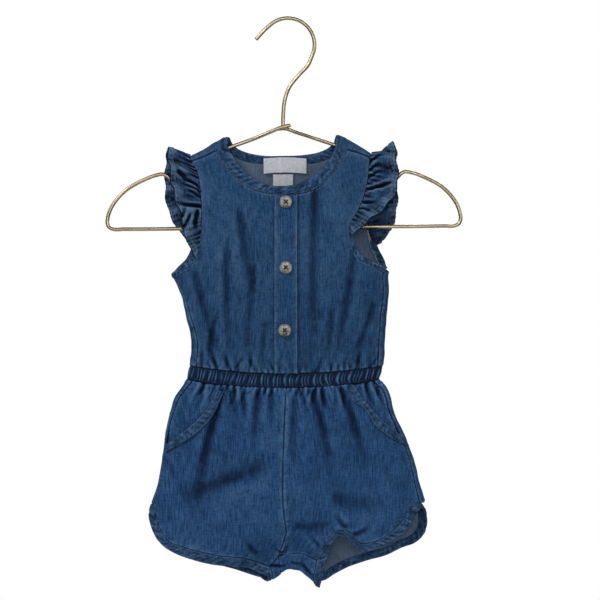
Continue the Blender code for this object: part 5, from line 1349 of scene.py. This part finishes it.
def stitching():
    for hand in ("left", "right"):
        bodice_front, ruffle = f"bodice_front_{hand}", f"ruffle_{hand}"
        armhole = inset(bodice_front, hand, ARMHOLE_STITCH, 0.42, 0.99)
        stitch(bodice_front, inset(bodice_front, "top", TOPSTITCH), armhole)
        stitch(ruffle, *(inset(ruffle, "top", distance, 0.02, 0.98) for distance in HEM_STITCHES))
        for part, edges in (("leg", ["bottom"]), ("pocket", ["bottom", "top"]), ("armhole", ["bottom"])):
            name = f"{part}_binding_{hand}"
            stitch(name, *(inset(name, edge, BINDING_STITCH) for edge in edges))
    stitch("shorts_front_left", inset("shorts_front_left", "right", CROTCH_STITCH, 0.12, 0.97))
    stitch("bodice_back", inset("bodice_back", "top", TOPSTITCH))
    stitch("neck_binding", inset("neck_binding", "bottom", BINDING_STITCH))
    round_edge = ("left", PLACKET_STITCH), ("right", PLACKET_STITCH), ("bottom", PLACKET_END_STITCH)
    stitch("button_placket", *(inset("button_placket", edge, distance) for edge, distance in round_edge))
    stitch("neck_label", inset("neck_label", "top", LABEL_STITCH, 0.04, 0.96), finish=white_thread)


def serging():
    """Pale overlocked stitches on the wrong side of the back, along its armholes."""
    lines = []
    for edge in ("right", "left"):
        near, far = (resampled(inset("bodice_back", edge, distance, *SERGED), 60)
                     for distance in (SERGING_FROM, SERGING_TO))
        for line in np.stack([near[:-1], far[1:]], 1):
            lines.append(line - outward("bodice_back", line) * (CLOTH + 0.1))
    stitch("bodice_back_serging", *lines, finish=pale_thread, sheet_name="bodice_back")


bodice()
neck_binding()
placket()
armhole_bindings()
ruffles()
waistband()
shorts()
pockets()
leg_bindings()
buttons()
labels()
hanger()
stitching()
serging()


# Fields for the cut of what shows of a sheet, in metres, with its flat area in square metres where it isn't a
# rectangle; no cuts are listed

Cut = namedtuple("Cut", "width length area held hangs_from")


LIGHTS = [
    ("front_light", (0.1, -2.9, 0.2), 1.2, 22), ("key_light", (-1.5, -1.3, 1.2), 0.6, 27),
    ("fill_light", (1.7, -1.0, 0.3), 1.0, 7), ("back_light", (0.4, 1.8, 0.9), 1.2, 22),
]
SURROUND_LIGHT, LIGHTS_AIM, FLOOR_Z = 0.15, (0, 0, -0.3), -0.8
CAMERA_X, CAMERA_Z, CAMERA_DISTANCE, FRAME_WIDTH, SENSOR_WIDTH = 0.012, -0.280, 1.8, 0.6, 36


def studio():
    """A pale floor, a white surround, soft lights and the camera."""
    scene = bpy.context.scene
    plaster, t, shader = material("pale_floor", Roughness=0.9)
    where = t.node("ShaderNodeTexCoord").outputs["Object"]
    mottle = t.noise(where, (6, 6, 6), 2.0, 0.5)
    t.feed(shader.inputs["Base Color"], t.mix(mottle, (0.80, 0.80, 0.79), (0.86, 0.86, 0.85)))
    bm = bmesh.new()
    bmesh.ops.create_circle(bm, cap_ends=True, segments=96, radius=0.9)
    bm.transform(Matrix.Translation((0, 0, FLOOR_Z)))
    floor = in_scene("floor", meshed("floor", bm))
    floor.data.materials.append(plaster)

    world = scene.world = scene.world or bpy.data.worlds.new("studio")
    world.use_nodes = True
    world.node_tree.nodes.clear()
    t = Tree(world.node_tree)
    lit, shown = (
        t.node("ShaderNodeBackground", {"Color": (1, 1, 1, 1), "Strength": strength}).outputs[0]
        for strength in (SURROUND_LIGHT, 1.0)
    )
    seen = t.node("ShaderNodeLightPath").outputs["Is Camera Ray"]
    t.node("ShaderNodeOutputWorld", {"Surface": t.node("ShaderNodeMixShader", {0: seen, 1: lit, 2: shown}).outputs[0]})

    for name, place, size, watts in LIGHTS:
        light = bpy.data.lights.new(name, "AREA")
        light.shape, light.size, light.energy = "DISK", size, watts
        made = in_scene(name, light)
        made.location = place
        made.rotation_euler = (Vector(LIGHTS_AIM) - Vector(place)).to_track_quat("-Z", "Y").to_euler()

    lens = bpy.data.cameras.new("camera")
    lens.lens, lens.sensor_width = SENSOR_WIDTH * CAMERA_DISTANCE / FRAME_WIDTH, SENSOR_WIDTH
    scene.camera = in_scene("camera", lens)
    scene.camera.location = (CAMERA_X, -CAMERA_DISTANCE, CAMERA_Z)
    scene.camera.rotation_euler = (math.radians(90), 0, 0)
    scene.view_settings.view_transform = "Standard"


studio()
